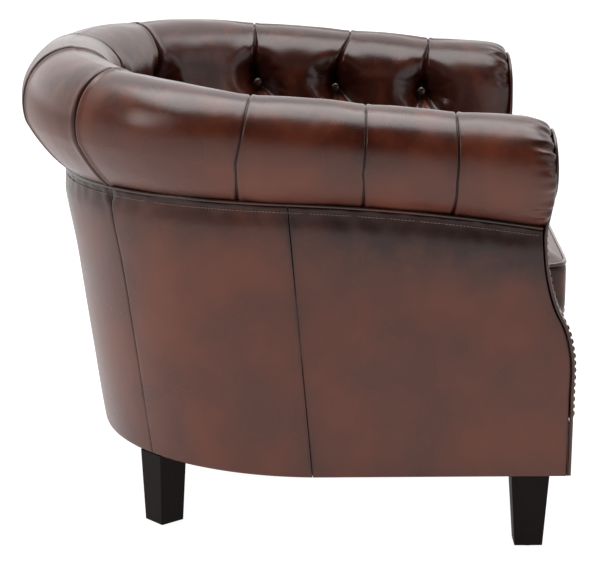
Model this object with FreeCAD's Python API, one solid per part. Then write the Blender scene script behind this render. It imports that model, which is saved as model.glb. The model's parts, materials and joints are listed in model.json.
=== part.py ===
import FreeCAD, Part
import math
import os

os.makedirs("parts", exist_ok=True)

V = FreeCAD.Vector

# ---- overall sizes, millimetres. Front is -Y, up is +Z, X = 0 is the plane of symmetry ----
LEG_HEIGHT = 109.6          # floor to the top of the wooden legs
SHELL_BOTTOM_Z = LEG_HEIGHT + 0.4   # lower edge of the outside panels
SHELL_TOP_Z = 500.0         # height at which the shell reaches its upper plan size
SHELL_LOW_HALF = 321.0      # half width of the shell at its lower edge
SHELL_LOW_CENTRE = -38.0    # Y of the centre of the round back, lower edge
SHELL_HIGH_HALF = 330.0
SHELL_HIGH_CENTRE = 5.0
ROLL_HALF = 311.0           # X of the roll's centre line along the arms
ROLL_CENTRE = 23.0          # Y of the centre of the roll's curve
ROLL_WIDE = 61.0            # half width of the roll on the arms
ROLL_TALL = 64.0            # half height of the roll on the arms
BACK_EXTRA_WIDE = 14.0      # how much fuller the roll is at the middle of the back
BACK_EXTRA_TALL = 15.0
ROLL_FRONT_Y = -351.5       # end face of the roll
CREST_FRONT_Z = 619.7       # top of the roll above its end face
CREST_SLOPE = 0.088         # rise of the roll towards the back
WELT_PEAK_Z = 508.1         # the welt under the roll follows a shallow arch
WELT_PEAK_Y = 130.0
WELT_ARCH = 0.0001688

# ---- inside of the tub ----
INNER_LOW_Z = 310.0
INNER_HIGH_Z = 600.0
INNER_LOW_HALF = 238.0
INNER_LOW_CENTRE = -53.0
INNER_HIGH_HALF = 250.0
INNER_HIGH_CENTRE = -8.0

# ---- skins, padding and wood ----
GAP = 0.3                   # clearance between neighbouring layers
PANEL_THICK = 4.0           # leather with wadding
NECK_THICK = 3.0
LINING_THICK = 2.5
INSIDE_LEATHER = 3.0
INSIDE_FOAM = 28.0
INSIDE_LID = 48.0           # the flat inside padding stops this far below the roll's centre
ROLL_LEATHER = 2.5
WOOD_THICK = 30.0
RAIL_BOTTOM_Z = SHELL_BOTTOM_Z + 2.0
RAIL_TOP_Z = 180.0
RAIL_HEIGHT = RAIL_TOP_Z - RAIL_BOTTOM_Z
LEG_POCKET = 10.0           # clear height above and below the leg plate in the dust cover
BLOCK_SIDE = 70.0           # corner blocks behind the front rail
WELT_R = 3.5
SEAM_GAP = 0.4
MID_SEAM_LOW = 13.0         # the side seam starts this far behind the round back's centre, at the bottom
MID_SEAM_HIGH = 4.0         # and ends this far behind it at the top
REAR_SEAM_ANGLE = 40.5      # degrees from the middle of the back
FACING_THICK = 8.0
PAD_THICK = 4.0            # wadding between the facing and its board
BOARD_THICK = 22.0
BAND_TOP_Z = 190.0          # top of the plain band across the foot of the front
SCROLL_SHARE = 0.78         # size of the scroll facing beside the roll's section
FACING_TOP_Z = 532.0
FACING_INNER_X = 240.0
BOARD_TOP_Z = 440.0
POST_WIDE = 40.0            # upright posts round the shell
POST_ANGLES = (12.0, 42.0, 76.0)
SIDE_POST_Y = -190.0
RING_DROP = 26.0            # the top ring starts this far below the front end of the welt
REACH = 900.0               # half size of cutting blocks

# ---- seat ----
SEAT_RAIL_Z = 258.0
SEAT_RAIL_HEIGHT = 32.0
SEAT_RING_WIDE = 24.0
SEAT_RING_FRONT_Y = -320.0
SEAT_FRONT_RAIL_Y = -350.0
SPRING_FRONT_Y = -335.0
SPRING_WIRE_R = 1.7
SPRING_PITCH = 22.0
SPRING_HALF = 16.0
SPRING_SPACING = 80.0
CLIP_TALL = 7.0
DECK_PAD_THICK = 13.5
DECK_CLOTH_THICK = 1.2

# ---- loose cushion ----
CUSHION_HALF = 228.0
CUSHION_FRONT_Y = -389.0
CUSHION_CROWN_Z = 430.0
CUSHION_CROWN_R = 2200.0
CUSHION_CORNER = 18.0
CUSHION_SKIN = 2.0
PIPING_R = 3.2
PIPING_TOP_Z = 390.0
PIPING_LOW_Z = 322.0
ZIP_TALL = 22.0
ZIP_THICK = 1.2
ZIP_ANGLE = 34.0

# ---- legs ----
LEG_FOOT = 40.0
FRONT_LEG_TOP = 54.0
REAR_LEG_TOP = 48.0
FRONT_LEG_X = 289.0
FRONT_LEG_Y = -332.0
REAR_LEG_R = 296.0
REAR_LEG_ANGLE = 40.0
GLIDE_TALL = 3.0
GLIDE_R = 13.0
BOLT_R = 4.0
BOLT_HOLE_R = 4.2
BOLT_LOW_Z = 60.0
BOLT_HIGH_Z = RAIL_BOTTOM_Z + 38.0
PLATE_SIDE = 38.0

# ---- buttons and nails ----
BUTTON_R = 9.0
BUTTON_RISE = 5.0
BUTTON_LIFT = 2.4           # height of the stud under the button
STUD_R = 2.0
BUTTON_PROBE = 12.0         # how far along its normal a button's seat on the leather is looked for
NAIL_R = 4.8
NAIL_RISE = 3.2
NAIL_SHANK_R = 0.9
NAIL_SHANK = 5.0
NAIL_PITCH = 10.6
NAIL_INSET = 8.0
NAIL_LOW_Z = 197.0
NAIL_HIGH_Z = 470.0

# arm buttons: Y and height; back buttons: angle from the middle of the back and height
ARM_BUTTONS = ((-226.0, 551.0), (-95.0, 560.0), (20.0, 570.0))
BACK_BUTTONS = ((40.5, 576.0), (13.5, 582.0))
LOW_ARM_BUTTONS = ((-290.0, 446.0), (-151.0, 448.0), (-17.0, 454.0))
LOW_BACK_BUTTONS = ((58.0, 460.0), (27.0, 464.0), (0.0, 466.0))

# side view of the front of the arm: height and Y of the leather face
FRONT_CURVE = ((40.0, -388.5), (112.0, -389.0), (224.0, -389.5), (290.0, -388.0), (326.0, -379.0),
               (354.0, -365.5), (397.0, -353.0), (440.0, -347.0), (486.0, -346.0), (560.0, -350.0),
               (700.0, -352.0))


def save(name, shape):
    shape.exportStep("parts/" + name + ".step")


def group(shapes):
    return Part.makeCompound(shapes)


def mirrored(shape):
    return shape.mirror(V(0, 0, 0), V(1, 0, 0))


def box(x0, x1, y0, y1, z0, z1):
    return Part.makeBox(x1 - x0, y1 - y0, z1 - z0, V(x0, y0, z0))


def lerp(low, high, share):
    return low + (high - low) * share


def shell_plan(z):
    share = (z - SHELL_BOTTOM_Z) / (SHELL_TOP_Z - SHELL_BOTTOM_Z)
    return lerp(SHELL_LOW_HALF, SHELL_HIGH_HALF, share), lerp(SHELL_LOW_CENTRE, SHELL_HIGH_CENTRE, share)


def inner_plan(z):
    share = (z - INNER_LOW_Z) / (INNER_HIGH_Z - INNER_LOW_Z)
    return lerp(INNER_LOW_HALF, INNER_HIGH_HALF, share), lerp(INNER_LOW_CENTRE, INNER_HIGH_CENTRE, share)


def welt_z(y):
    return WELT_PEAK_Z - WELT_ARCH * (y - WELT_PEAK_Y) ** 2


def crest_z(y):
    return CREST_FRONT_Z + CREST_SLOPE * (y - ROLL_FRONT_Y)


def line(a, b):
    return Part.makeLine(a, b)


def arc(a, b, c):
    return Part.Arc(a, b, c).toShape()


def u_wire(outer, inner, centre, y_front, z):
    """Closed outline of a U-shaped layer: two straight sides and a half-round back."""
    a = V(outer, y_front, z)
    b = V(outer, centre, z)
    c = V(0, centre + outer, z)
    d = V(-outer, centre, z)
    e = V(-outer, y_front, z)
    f = V(-inner, y_front, z)
    g = V(-inner, centre, z)
    h = V(0, centre + inner, z)
    i = V(inner, centre, z)
    j = V(inner, y_front, z)
    edges = [line(a, b), arc(b, c, d), line(d, e), line(e, f), line(f, g), arc(g, h, i), line(i, j),
             line(j, a)]
    return Part.Wire(edges)


def shell_layer(depth, thick, z0, z1):
    """U-shaped layer that starts a given depth inside the outside face of the shell."""
    wires = []
    for z in (z0, z1):
        half, centre = shell_plan(z)
        wires.append(u_wire(half - depth, half - depth - thick, centre, FRONT_CURVE[0][1], z))
    return Part.makeLoft(wires, True, True)


def inner_layer(depth, thick, z0, z1):
    """U-shaped layer that starts a given depth behind the sitter's side of the tub."""
    wires = []
    for z in (z0, z1):
        half, centre = inner_plan(z)
        wires.append(u_wire(half + depth + thick, half + depth, centre, FRONT_CURVE[0][1], z))
    return Part.makeLoft(wires, True, True)


def spline(points):
    curve = Part.BSplineCurve()
    curve.interpolate(points)
    return curve.toShape()


def front_edge(offset):
    return spline([V(0, y + offset, z) for z, y in FRONT_CURVE])


def extruded_x(edges, x0, x1):
    face = Part.Face(Part.Wire(edges))
    face.translate(V(x0, 0, 0))
    return face.extrude(V(x1 - x0, 0, 0))


def front_cutter(offset):
    """Everything in front of the curved front of the arm."""
    z0, y0 = FRONT_CURVE[0]
    z1, y1 = FRONT_CURVE[-1]
    low = V(0, y0 + offset, z0)
    high = V(0, y1 + offset, z1)
    edges = [front_edge(offset), line(high, V(0, -REACH, z1)), line(V(0, -REACH, z1), V(0, -REACH, z0)),
             line(V(0, -REACH, z0), low)]
    return extruded_x(edges, -REACH, REACH)


def front_band(offset, thick, x0, x1, z0, z1):
    """Plank that follows the curved front of the arm."""
    za, ya = FRONT_CURVE[0]
    zb, yb = FRONT_CURVE[-1]
    edges = [front_edge(offset), line(V(0, yb + offset, zb), V(0, yb + offset + thick, zb)),
             front_edge(offset + thick), line(V(0, ya + offset + thick, za), V(0, ya + offset, za))]
    band = extruded_x(edges, x0, x1)
    return band.common(box(x0 - 1, x1 + 1, -REACH, REACH, z0, z1))


def welt_cutter(offset, end_z):
    """Everything between the welt line, moved by an offset, and a flat height."""
    ys = [-600.0 + 50.0 * i for i in range(25)]
    edge = spline([V(0, y, welt_z(y) + offset) for y in ys])
    first = V(0, ys[0], welt_z(ys[0]) + offset)
    last = V(0, ys[-1], welt_z(ys[-1]) + offset)
    edges = [edge, line(last, V(0, ys[-1], end_z)), line(V(0, ys[-1], end_z), V(0, ys[0], end_z)),
             line(V(0, ys[0], end_z), first)]
    return extruded_x(edges, -REACH, REACH)


def half_space(point, along, up, normal):
    """Block that fills one side of a plane."""
    corners = []
    for s, t in ((-1, -1), (1, -1), (1, 1), (-1, 1)):
        corners.append(point + along * (s * REACH) + up * (t * REACH))
    corners.append(corners[0])
    return Part.Face(Part.makePolygon(corners)).extrude(normal * REACH)


def above_slope(z_at_front):
    """Everything above a plane that rises towards the back with the roll."""
    up = V(0, 1, CREST_SLOPE).normalize()
    normal = V(0, -CREST_SLOPE, 1).normalize()
    return half_space(V(0, ROLL_FRONT_Y, z_at_front), V(1, 0, 0), up, normal)


def roll_section(direction, centre, wide, tall, scale):
    top = centre + V(0, 0, tall * scale)
    side = centre + direction * (wide * scale)
    longer, shorter = (top, side) if tall >= wide else (side, top)
    return Part.Wire(Part.Ellipse(longer, shorter, centre).toShape())


def roll_stations():
    """Position, outward direction, half width, half height and scale along the roll."""
    stations = []
    for back_off, scale in ((0.0, 0.80), (5.0, 0.92), (16.0, 0.985), (34.0, 1.0), (130.0, 1.0), (250.0, 1.0)):
        y = ROLL_FRONT_Y + back_off
        stations.append((V(ROLL_HALF, y, crest_z(y) - ROLL_TALL), V(1, 0, 0), ROLL_WIDE, ROLL_TALL, scale))
    for step in range(0, 5):
        angle = math.radians(90.0 - 22.5 * step)
        share = math.cos(angle) ** 2
        wide = ROLL_WIDE + BACK_EXTRA_WIDE * share
        tall = ROLL_TALL + BACK_EXTRA_TALL * share
        radius = ROLL_HALF + ROLL_WIDE - wide
        y = ROLL_CENTRE + radius * math.cos(angle)
        centre = V(radius * math.sin(angle), y, crest_z(y) - tall)
        stations.append((centre, V(math.sin(angle), math.cos(angle), 0), wide, tall, 1.0))
    return stations


def roll_solid(inset):
    """The padded roll along both arms and the back, drawn in by an inset."""
    half = []
    for index, (centre, direction, wide, tall, scale) in enumerate(roll_stations()):
        place = centre + V(0, inset, 0) if index < 4 else centre
        half.append((place, direction, wide - inset, tall - inset, scale))
    other = [(V(-c.x, c.y, c.z), V(-d.x, d.y, d.z), w, t, s) for c, d, w, t, s in reversed(half[:-1])]
    wires = [roll_section(d, c, w, t, s) for c, d, w, t, s in half + other]
    return Part.makeLoft(wires, True, False)


def swept(path_edges, start, direction, radius):
    profile = Part.Wire(Part.makeCircle(radius, start, direction))
    return Part.Wire(path_edges).makePipeShell([profile], True, True)


def save_panels(cut_front, welt_low):
    skin = shell_layer(0.0, PANEL_THICK, SHELL_BOTTOM_Z, SHELL_TOP_Z + 40).cut(cut_front).cut(welt_low)
    top_half, top_centre = shell_plan(SHELL_TOP_Z)
    low_half, low_centre = shell_plan(SHELL_BOTTOM_Z)
    mid_low = V(0, low_centre + MID_SEAM_LOW, SHELL_BOTTOM_Z)
    mid_up = (V(0, top_centre + MID_SEAM_HIGH, SHELL_TOP_Z) - mid_low).normalize()
    angle = math.radians(REAR_SEAM_ANGLE)
    out = V(math.sin(angle), math.cos(angle), 0)
    seam_low = V(0, low_centre, SHELL_BOTTOM_Z) + out * low_half
    seam_up = (V(0, top_centre, SHELL_TOP_Z) + out * top_half - seam_low).normalize()
    seam_normal = out.cross(seam_up)
    if seam_normal.x < 0:
        seam_normal = seam_normal * -1
    ahead_side = half_space(mid_low - V(0, SEAM_GAP, 0), V(1, 0, 0), mid_up, V(0, 1, 0))
    behind_side = half_space(mid_low, V(1, 0, 0), mid_up, V(0, -1, 0))
    right_half = box(0, REACH, -REACH, REACH, 0, REACH)
    outside_seam = half_space(seam_low, out, seam_up, seam_normal)
    inside_seam = half_space(seam_low - seam_normal * SEAM_GAP, out, seam_up, seam_normal)
    front = skin.cut(ahead_side).common(right_half)
    rear = skin.cut(behind_side).common(right_half).common(outside_seam)
    back = skin.cut(behind_side).common(right_half).cut(inside_seam)
    back = back.fuse(mirrored(back)).removeSplitter()
    save("outside_front_panel_left", front)
    save("outside_front_panel_right", mirrored(front))
    save("outside_rear_panel_left", rear)
    save("outside_rear_panel_right", mirrored(rear))
    save("outside_back_panel", back)


def save_covers(cut_front, welt_high):
    grown = roll_solid(-GAP)
    lid = above_slope(CREST_FRONT_Z - ROLL_TALL - INSIDE_LID)
    roll_low = above_slope(CREST_FRONT_Z - ROLL_TALL)
    save("roll_cover", roll_solid(0.0).cut(roll_solid(ROLL_LEATHER)))
    save("roll_foam", roll_solid(ROLL_LEATHER + GAP))
    low = INNER_LOW_Z - 10
    high = INNER_HIGH_Z + 20
    leather = inner_layer(0.0, INSIDE_LEATHER, low, high).cut(cut_front).cut(lid).cut(grown)
    foam = inner_layer(INSIDE_LEATHER + GAP, INSIDE_FOAM, low, high).cut(cut_front).cut(lid).cut(grown)
    lining = inner_layer(INSIDE_LEATHER + INSIDE_FOAM + 2 * GAP, LINING_THICK, low, SHELL_TOP_Z)
    save("inside_cover", leather)
    save("inside_foam", foam)
    save("inner_lining", lining.cut(cut_front).cut(grown))
    neck = shell_layer(0.0, NECK_THICK, SHELL_TOP_Z - 60, SHELL_TOP_Z + 90)
    save("neck_band", neck.cut(cut_front).cut(welt_high).cut(roll_low).cut(grown))
    return grown


def board_sides():
    """Inner and outer X of the board behind each facing, between the two linings."""
    inner = inner_plan(INNER_HIGH_Z)[0] + INSIDE_LEATHER + INSIDE_FOAM + LINING_THICK + 3 * GAP
    outer = SHELL_LOW_HALF - PANEL_THICK - LINING_THICK - 3 * GAP
    return inner, outer


def save_frame(cut_front, welt_low, grown):
    board_back = FACING_THICK + PAD_THICK + BOARD_THICK + 3 * GAP
    cut_board = front_cutter(board_back)
    depth = PANEL_THICK + LINING_THICK + 2 * GAP
    outer_lining = shell_layer(PANEL_THICK + GAP, LINING_THICK, RAIL_BOTTOM_Z, SHELL_TOP_Z + 40)
    save("outer_lining", outer_lining.cut(cut_front).cut(welt_low))
    ring_top = above_slope(welt_z(ROLL_FRONT_Y) - 4)
    ring_bottom = above_slope(welt_z(ROLL_FRONT_Y) - RING_DROP)
    ring = shell_layer(depth, WOOD_THICK + 10, SHELL_TOP_Z - 100, SHELL_TOP_Z + 60)
    save("top_ring", ring.common(ring_bottom).cut(ring_top).cut(cut_board).cut(grown))
    rail_top = RAIL_BOTTOM_Z + RAIL_HEIGHT
    rails = shell_layer(depth, WOOD_THICK, RAIL_BOTTOM_Z, rail_top).cut(cut_board)
    holes = [Part.makeCylinder(BOLT_HOLE_R, 200, V(x, y, 20)) for x, y, turn in leg_places()]
    rails = rails.cut(group(holes))
    split_y = SHELL_LOW_CENTRE
    save("base_rail_left", rails.common(box(0, REACH, -REACH, split_y - GAP, 0, REACH)))
    save("base_rail_right", rails.common(box(-REACH, 0, -REACH, split_y - GAP, 0, REACH)))
    save("base_rail_rear", rails.common(box(-REACH, REACH, split_y, REACH, 0, REACH)))
    front_y = FRONT_CURVE[1][1] + FACING_THICK
    front_half = SHELL_LOW_HALF - depth - WOOD_THICK - GAP
    save("base_rail_front", box(-front_half, front_half, front_y + GAP, front_y + WOOD_THICK, RAIL_BOTTOM_Z,
                                rail_top))
    posts = shell_layer(depth, WOOD_THICK, rail_top + GAP, SHELL_TOP_Z + 20)
    post_tools = []
    half_post = POST_WIDE / 2
    for angle in POST_ANGLES:
        for side in (-1, 1):
            tool = box(-half_post, half_post, 100, REACH, 0, REACH)
            tool.rotate(V(0, 0, 0), V(0, 0, 1), side * angle)
            tool.translate(V(0, shell_plan(300.0)[1], 0))
            post_tools.append(tool)
    for x0, x1 in ((-REACH, 0), (0, REACH)):
        post_tools.append(box(x0, x1, SIDE_POST_Y - half_post, SIDE_POST_Y + half_post, 0, REACH))
    top_cut = above_slope(welt_z(ROLL_FRONT_Y) - RING_DROP - GAP)
    save("uprights", group([posts.common(tool).cut(top_cut) for tool in post_tools]))
    block = box(front_half - BLOCK_SIDE, front_half, front_y + WOOD_THICK + GAP, FRONT_LEG_Y + BLOCK_SIDE / 2,
                RAIL_BOTTOM_Z, rail_top)
    save("corner_blocks", group([block, mirrored(block)]))
    x0, x1 = board_sides()
    board = front_band(FACING_THICK + PAD_THICK + 2 * GAP, BOARD_THICK, x0, x1, rail_top + GAP, BOARD_TOP_Z)
    save("arm_front_boards", group([board, mirrored(board)]))


def leg_places():
    """X, Y and turn of the four legs; the rear pair stand square to the round back."""
    places = []
    for side in (-1, 1):
        places.append((side * FRONT_LEG_X, FRONT_LEG_Y, 0.0))
    for side in (-1, 1):
        angle = math.radians(REAR_LEG_ANGLE)
        x = side * REAR_LEG_R * math.sin(angle)
        y = SHELL_LOW_CENTRE + REAR_LEG_R * math.cos(angle)
        places.append((x, y, -side * REAR_LEG_ANGLE))
    return places


def square_wire(side, z):
    h = side / 2.0
    points = [V(-h, -h, z), V(h, -h, z), V(h, h, z), V(-h, h, z), V(-h, -h, z)]
    return Part.makePolygon(points)


def save_legs():
    names = ("front_leg_right", "front_leg_left", "rear_leg_right", "rear_leg_left")
    bolts = []
    plates = []
    glides = []
    for name, (x, y, turn) in zip(names, leg_places()):
        top = FRONT_LEG_TOP if name.startswith("front") else REAR_LEG_TOP
        leg = Part.makeLoft([square_wire(LEG_FOOT, GLIDE_TALL), square_wire(top, LEG_HEIGHT)], True, True)
        leg = leg.makeFillet(2.0, [leg.Edges[i] for i in upright_edges(leg)])
        leg = leg.cut(Part.makeCylinder(BOLT_HOLE_R, 200, V(0, 0, BOLT_LOW_Z - 1)))
        place = FreeCAD.Placement(V(x, y, 0), FreeCAD.Rotation(V(0, 0, 1), turn))
        leg.Placement = place
        save(name, leg)
        bolts.append(Part.makeCylinder(BOLT_R, BOLT_HIGH_Z - BOLT_LOW_Z, V(x, y, BOLT_LOW_Z)))
        half = PLATE_SIDE / 2
        plate = box(-half, half, -half, half, LEG_HEIGHT, RAIL_BOTTOM_Z)
        plate = plate.cut(Part.makeCylinder(BOLT_HOLE_R, 20, V(0, 0, LEG_HEIGHT - 5)))
        plate.Placement = place
        plates.append(plate)
        glides.append(Part.makeCylinder(GLIDE_R, GLIDE_TALL, V(x, y, 0)))
    save("leg_bolts", group(bolts))
    save("leg_plates", group(plates))
    save("leg_glides", group(glides))


def upright_edges(solid):
    found = []
    for index, edge in enumerate(solid.Edges):
        ends = [vertex.Point.z for vertex in edge.Vertexes]
        if abs(ends[0] - ends[1]) > 50:
            found.append(index)
    return found


def d_wire(half, centre, front, corner, z):
    """Outline of the seat: straight front with round corners and a half-round back."""
    k = corner * (1 - math.sqrt(0.5))
    a = V(half, front + corner, z)
    b = V(half, centre, z)
    c = V(0, centre + half, z)
    d = V(-half, centre, z)
    e = V(-half, front + corner, z)
    f = V(-half + k, front + k, z)
    g = V(-half + corner, front, z)
    h = V(half - corner, front, z)
    i = V(half - k, front + k, z)
    return [line(a, b), arc(b, c, d), line(d, e), arc(e, f, g), line(g, h), arc(h, i, a)]


def d_solid(half, centre, front, corner, z0, z1):
    face = Part.Face(Part.Wire(d_wire(half, centre, front, corner, z0)))
    return face.extrude(V(0, 0, z1 - z0))


def spring(x, y0, y1, z):
    """Zigzag spring wire lying flat, from the front rail to the back rail."""
    runs = 2 * int(round((y1 - y0) / SPRING_PITCH / 2.0)) + 1
    pitch = (y1 - y0) / (runs - 1)
    edges = []
    for index in range(runs):
        side = 1 if index % 2 == 0 else -1
        y = y0 + pitch * index
        edges.append(line(V(x - side * SPRING_HALF, y, z), V(x + side * SPRING_HALF, y, z)))
        if index < runs - 1:
            start = V(x + side * SPRING_HALF, y, z)
            middle = V(x + side * (SPRING_HALF + pitch / 2), y + pitch / 2, z)
            edges.append(arc(start, middle, V(x + side * SPRING_HALF, y + pitch, z)))
    return swept(edges, V(x - SPRING_HALF, y0, z), V(1, 0, 0), SPRING_WIRE_R)


def save_seat():
    rail_top = SEAT_RAIL_Z + SEAT_RAIL_HEIGHT
    half, centre = shell_plan(SEAT_RAIL_Z)
    depth = PANEL_THICK + LINING_THICK + 2 * GAP
    outer = half - depth - WOOD_THICK - GAP
    ring_wire = u_wire(outer, outer - SEAT_RING_WIDE, centre, SEAT_RING_FRONT_Y, SEAT_RAIL_Z)
    ring = Part.Face(ring_wire).extrude(V(0, 0, SEAT_RAIL_HEIGHT))
    save("seat_rail_ring", ring)
    rail = box(-outer + 16, outer - 16, SEAT_FRONT_RAIL_Y, SEAT_RING_FRONT_Y - GAP, SEAT_RAIL_Z, rail_top)
    save("seat_rail_front", rail)
    z = rail_top + CLIP_TALL / 2
    springs = []
    clips = []
    for index in (-2, -1, 0, 1, 2):
        x = index * SPRING_SPACING
        y0 = SPRING_FRONT_Y
        y1 = centre + math.sqrt((outer - 12) ** 2 - (abs(x) + SPRING_HALF) ** 2) - 2
        springs.append(spring(x, y0, y1, z))
        for y in (y0, y1):
            clip = box(x - 8, x + 8, y - 6, y + 6, rail_top, rail_top + CLIP_TALL)
            clip = clip.cut(Part.makeCylinder(SPRING_WIRE_R + 0.2, 40, V(x - 20, y, z), V(1, 0, 0)))
            clips.append(clip)
    save("seat_springs", group(springs))
    save("spring_clips", group(clips))
    deck_z = rail_top + CLIP_TALL + GAP
    half_low, centre_low = inner_plan(INNER_LOW_Z - 10)
    edge_front = FRONT_CURVE[1][1] + FACING_THICK + 2.0
    pad = d_solid(half_low - 1, centre_low, edge_front + 1, 14.0, deck_z, deck_z + DECK_PAD_THICK)
    save("deck_pad", pad)
    cloth_z = deck_z + DECK_PAD_THICK + GAP
    cloth = d_solid(half_low - 1, centre_low, edge_front + 1, 14.0, cloth_z, cloth_z + DECK_CLOTH_THICK)
    save("deck_cloth", cloth)
    apron_half = FACING_INNER_X - GAP
    apron_y = edge_front - GAP
    apron = box(-apron_half, apron_half, apron_y - 5.0, apron_y, BAND_TOP_Z + GAP, deck_z + DECK_PAD_THICK)
    save("front_apron", apron)
    foam = box(-apron_half + 6, apron_half - 6, apron_y + GAP, SEAT_FRONT_RAIL_Y - GAP, BAND_TOP_Z + 6,
               deck_z - GAP)
    save("front_edge_foam", foam)
    cover = d_solid(SHELL_LOW_HALF - 14, SHELL_LOW_CENTRE, edge_front + 10, 20.0, RAIL_BOTTOM_Z - 1.2,
                    RAIL_BOTTOM_Z - 0.2)
    tools = []
    for x, y, turn in leg_places():
        tool = box(-PLATE_SIDE / 2 - 1, PLATE_SIDE / 2 + 1, -PLATE_SIDE / 2 - 1, PLATE_SIDE / 2 + 1,
                   LEG_HEIGHT - LEG_POCKET, LEG_HEIGHT + LEG_POCKET)
        tool.Placement = FreeCAD.Placement(V(x, y, 0), FreeCAD.Rotation(V(0, 0, 1), turn))
        tools.append(tool)
    save("dust_cover", cover.cut(group(tools)))
    return cloth_z + DECK_CLOTH_THICK


def outside_plane():
    """Everything beyond the sloping outer side of the shell."""
    low = V(SHELL_LOW_HALF, 0, SHELL_BOTTOM_Z)
    up = (V(SHELL_HIGH_HALF, 0, SHELL_TOP_Z) - low).normalize()
    return half_space(low, V(0, 1, 0), up, V(up.z, 0, -up.x))


def save_front(grown):
    face_half = SHELL_LOW_HALF
    band = front_band(0.0, FACING_THICK - GAP, -face_half, face_half, SHELL_BOTTOM_Z, BAND_TOP_Z)
    save("base_band", band)
    facing = front_band(0.0, FACING_THICK - GAP, FACING_INNER_X, SHELL_HIGH_HALF + 20, BAND_TOP_Z + GAP,
                        FACING_TOP_Z)
    facing = facing.cut(outside_plane()).cut(grown)
    x0, x1 = board_sides()
    pad = front_band(FACING_THICK + GAP, PAD_THICK, x0, x1, BAND_TOP_Z + GAP, BOARD_TOP_Z)
    save("facing_pads", group([pad, mirrored(pad)]))
    for name, side in (("left", 1), ("right", -1)):
        nails, shanks = nail_set(side)
        whole = facing if side > 0 else mirrored(facing)
        save("front_facing_" + name, whole.cut(group(shanks)))
        save("facing_nails_" + name, group(nails))
    z = crest_z(ROLL_FRONT_Y) - ROLL_TALL
    centre = V(ROLL_HALF, ROLL_FRONT_Y - GAP, z)
    disc = Part.Face(roll_section(V(1, 0, 0), centre, ROLL_WIDE, ROLL_TALL, SCROLL_SHARE))
    disc = disc.extrude(V(0, -FACING_THICK, 0))
    save("scroll_facing_left", disc)
    save("scroll_facing_right", mirrored(disc))


def front_place(z):
    """Y of the leather face of the arm front at a height, and its outward normal."""
    curve = Part.BSplineCurve()
    curve.interpolate([V(0, y, h) for h, y in FRONT_CURVE])
    low = curve.FirstParameter
    high = curve.LastParameter
    for _ in range(40):
        middle = 0.5 * (low + high)
        if curve.value(middle).z < z:
            low = middle
        else:
            high = middle
    tangent = curve.tangent(low)[0]
    normal = V(0, -tangent.z, tangent.y)
    if normal.y > 0:
        normal = normal * -1
    return curve.value(low), normal


def turned(radius, rise, stem_r, stem, base, normal):
    """Domed head on a round stem, turned about its own axis."""
    ball = (radius ** 2 + rise ** 2) / (2 * rise)
    half_turn = 0.5 * math.asin(radius / ball)
    side = V(ball * math.sin(half_turn), 0, rise - ball + ball * math.cos(half_turn))
    edges = [line(V(0, 0, -stem), V(stem_r, 0, -stem)), line(V(stem_r, 0, -stem), V(stem_r, 0, 0)),
             line(V(stem_r, 0, 0), V(radius, 0, 0)), arc(V(radius, 0, 0), side, V(0, 0, rise)),
             line(V(0, 0, rise), V(0, 0, -stem))]
    head = Part.Face(Part.Wire(edges)).revolve(V(0, 0, 0), V(0, 0, 1), 360)
    head.Placement = FreeCAD.Placement(base, FreeCAD.Rotation(V(0, 0, 1), normal))
    return head


def nail_at(x, z):
    point, normal = front_place(z)
    base = V(x, point.y, point.z) + normal * GAP
    start = base - normal * NAIL_SHANK
    nail = turned(NAIL_R, NAIL_RISE, NAIL_SHANK_R, NAIL_SHANK, base, normal)
    hole = Part.makeCylinder(NAIL_SHANK_R + 0.15, NAIL_SHANK + 2, start - normal * 0.5, normal)
    return nail, hole


def nail_set(side):
    """Row of nails up the outer edge, along the foot and up the inner edge of one facing."""
    outer_x = SHELL_LOW_HALF - NAIL_INSET
    inner_x = FACING_INNER_X + NAIL_INSET
    places = []
    rows = int((NAIL_HIGH_Z - NAIL_LOW_Z) / NAIL_PITCH)
    for index in range(rows + 1):
        z = NAIL_LOW_Z + index * NAIL_PITCH
        places.append((outer_x, z))
        places.append((inner_x, z))
    steps = int(round((outer_x - inner_x) / NAIL_PITCH))
    for index in range(1, steps):
        places.append((lerp(inner_x, outer_x, index / steps), NAIL_LOW_Z))
    nails = []
    holes = []
    for x, z in places:
        nail, hole = nail_at(side * x, z)
        nails.append(nail)
        holes.append(hole)
    return nails, holes


def button(point, normal):
    """Domed button standing just off the leather."""
    base = point + normal * (GAP + BUTTON_LIFT)
    return turned(BUTTON_R, BUTTON_RISE, STUD_R, BUTTON_LIFT, base, normal)


def on_roll(centre, wide, tall, z):
    """Distance of the sitter's side of the roll from the roll's centre line at a height."""
    share = min(1.0, abs(z - centre.z) / tall)
    return wide * math.sqrt(1 - share ** 2)


def upper_button_places():
    places = []
    for y, z in ARM_BUTTONS:
        centre = V(ROLL_HALF, y, crest_z(y) - ROLL_TALL)
        reach = on_roll(centre, ROLL_WIDE, ROLL_TALL, z)
        slope = V(-reach / ROLL_WIDE ** 2, 0, (z - centre.z) / ROLL_TALL ** 2).normalize()
        places.append((V(ROLL_HALF - reach, y, z), slope))
    for turn, z in BACK_BUTTONS:
        angle = math.radians(turn)
        share = math.cos(angle) ** 2
        wide = ROLL_WIDE + BACK_EXTRA_WIDE * share
        tall = ROLL_TALL + BACK_EXTRA_TALL * share
        radius = ROLL_HALF + ROLL_WIDE - wide
        y = ROLL_CENTRE + radius * math.cos(angle)
        centre = V(radius * math.sin(angle), y, crest_z(y) - tall)
        reach = on_roll(centre, wide, tall, z)
        out = V(math.sin(angle), math.cos(angle), 0)
        slope = (out * (-reach / wide ** 2) + V(0, 0, (z - centre.z) / tall ** 2)).normalize()
        point = V(0, ROLL_CENTRE, z) + out * (radius - reach)
        places.append((point, slope))
    return places


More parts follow.
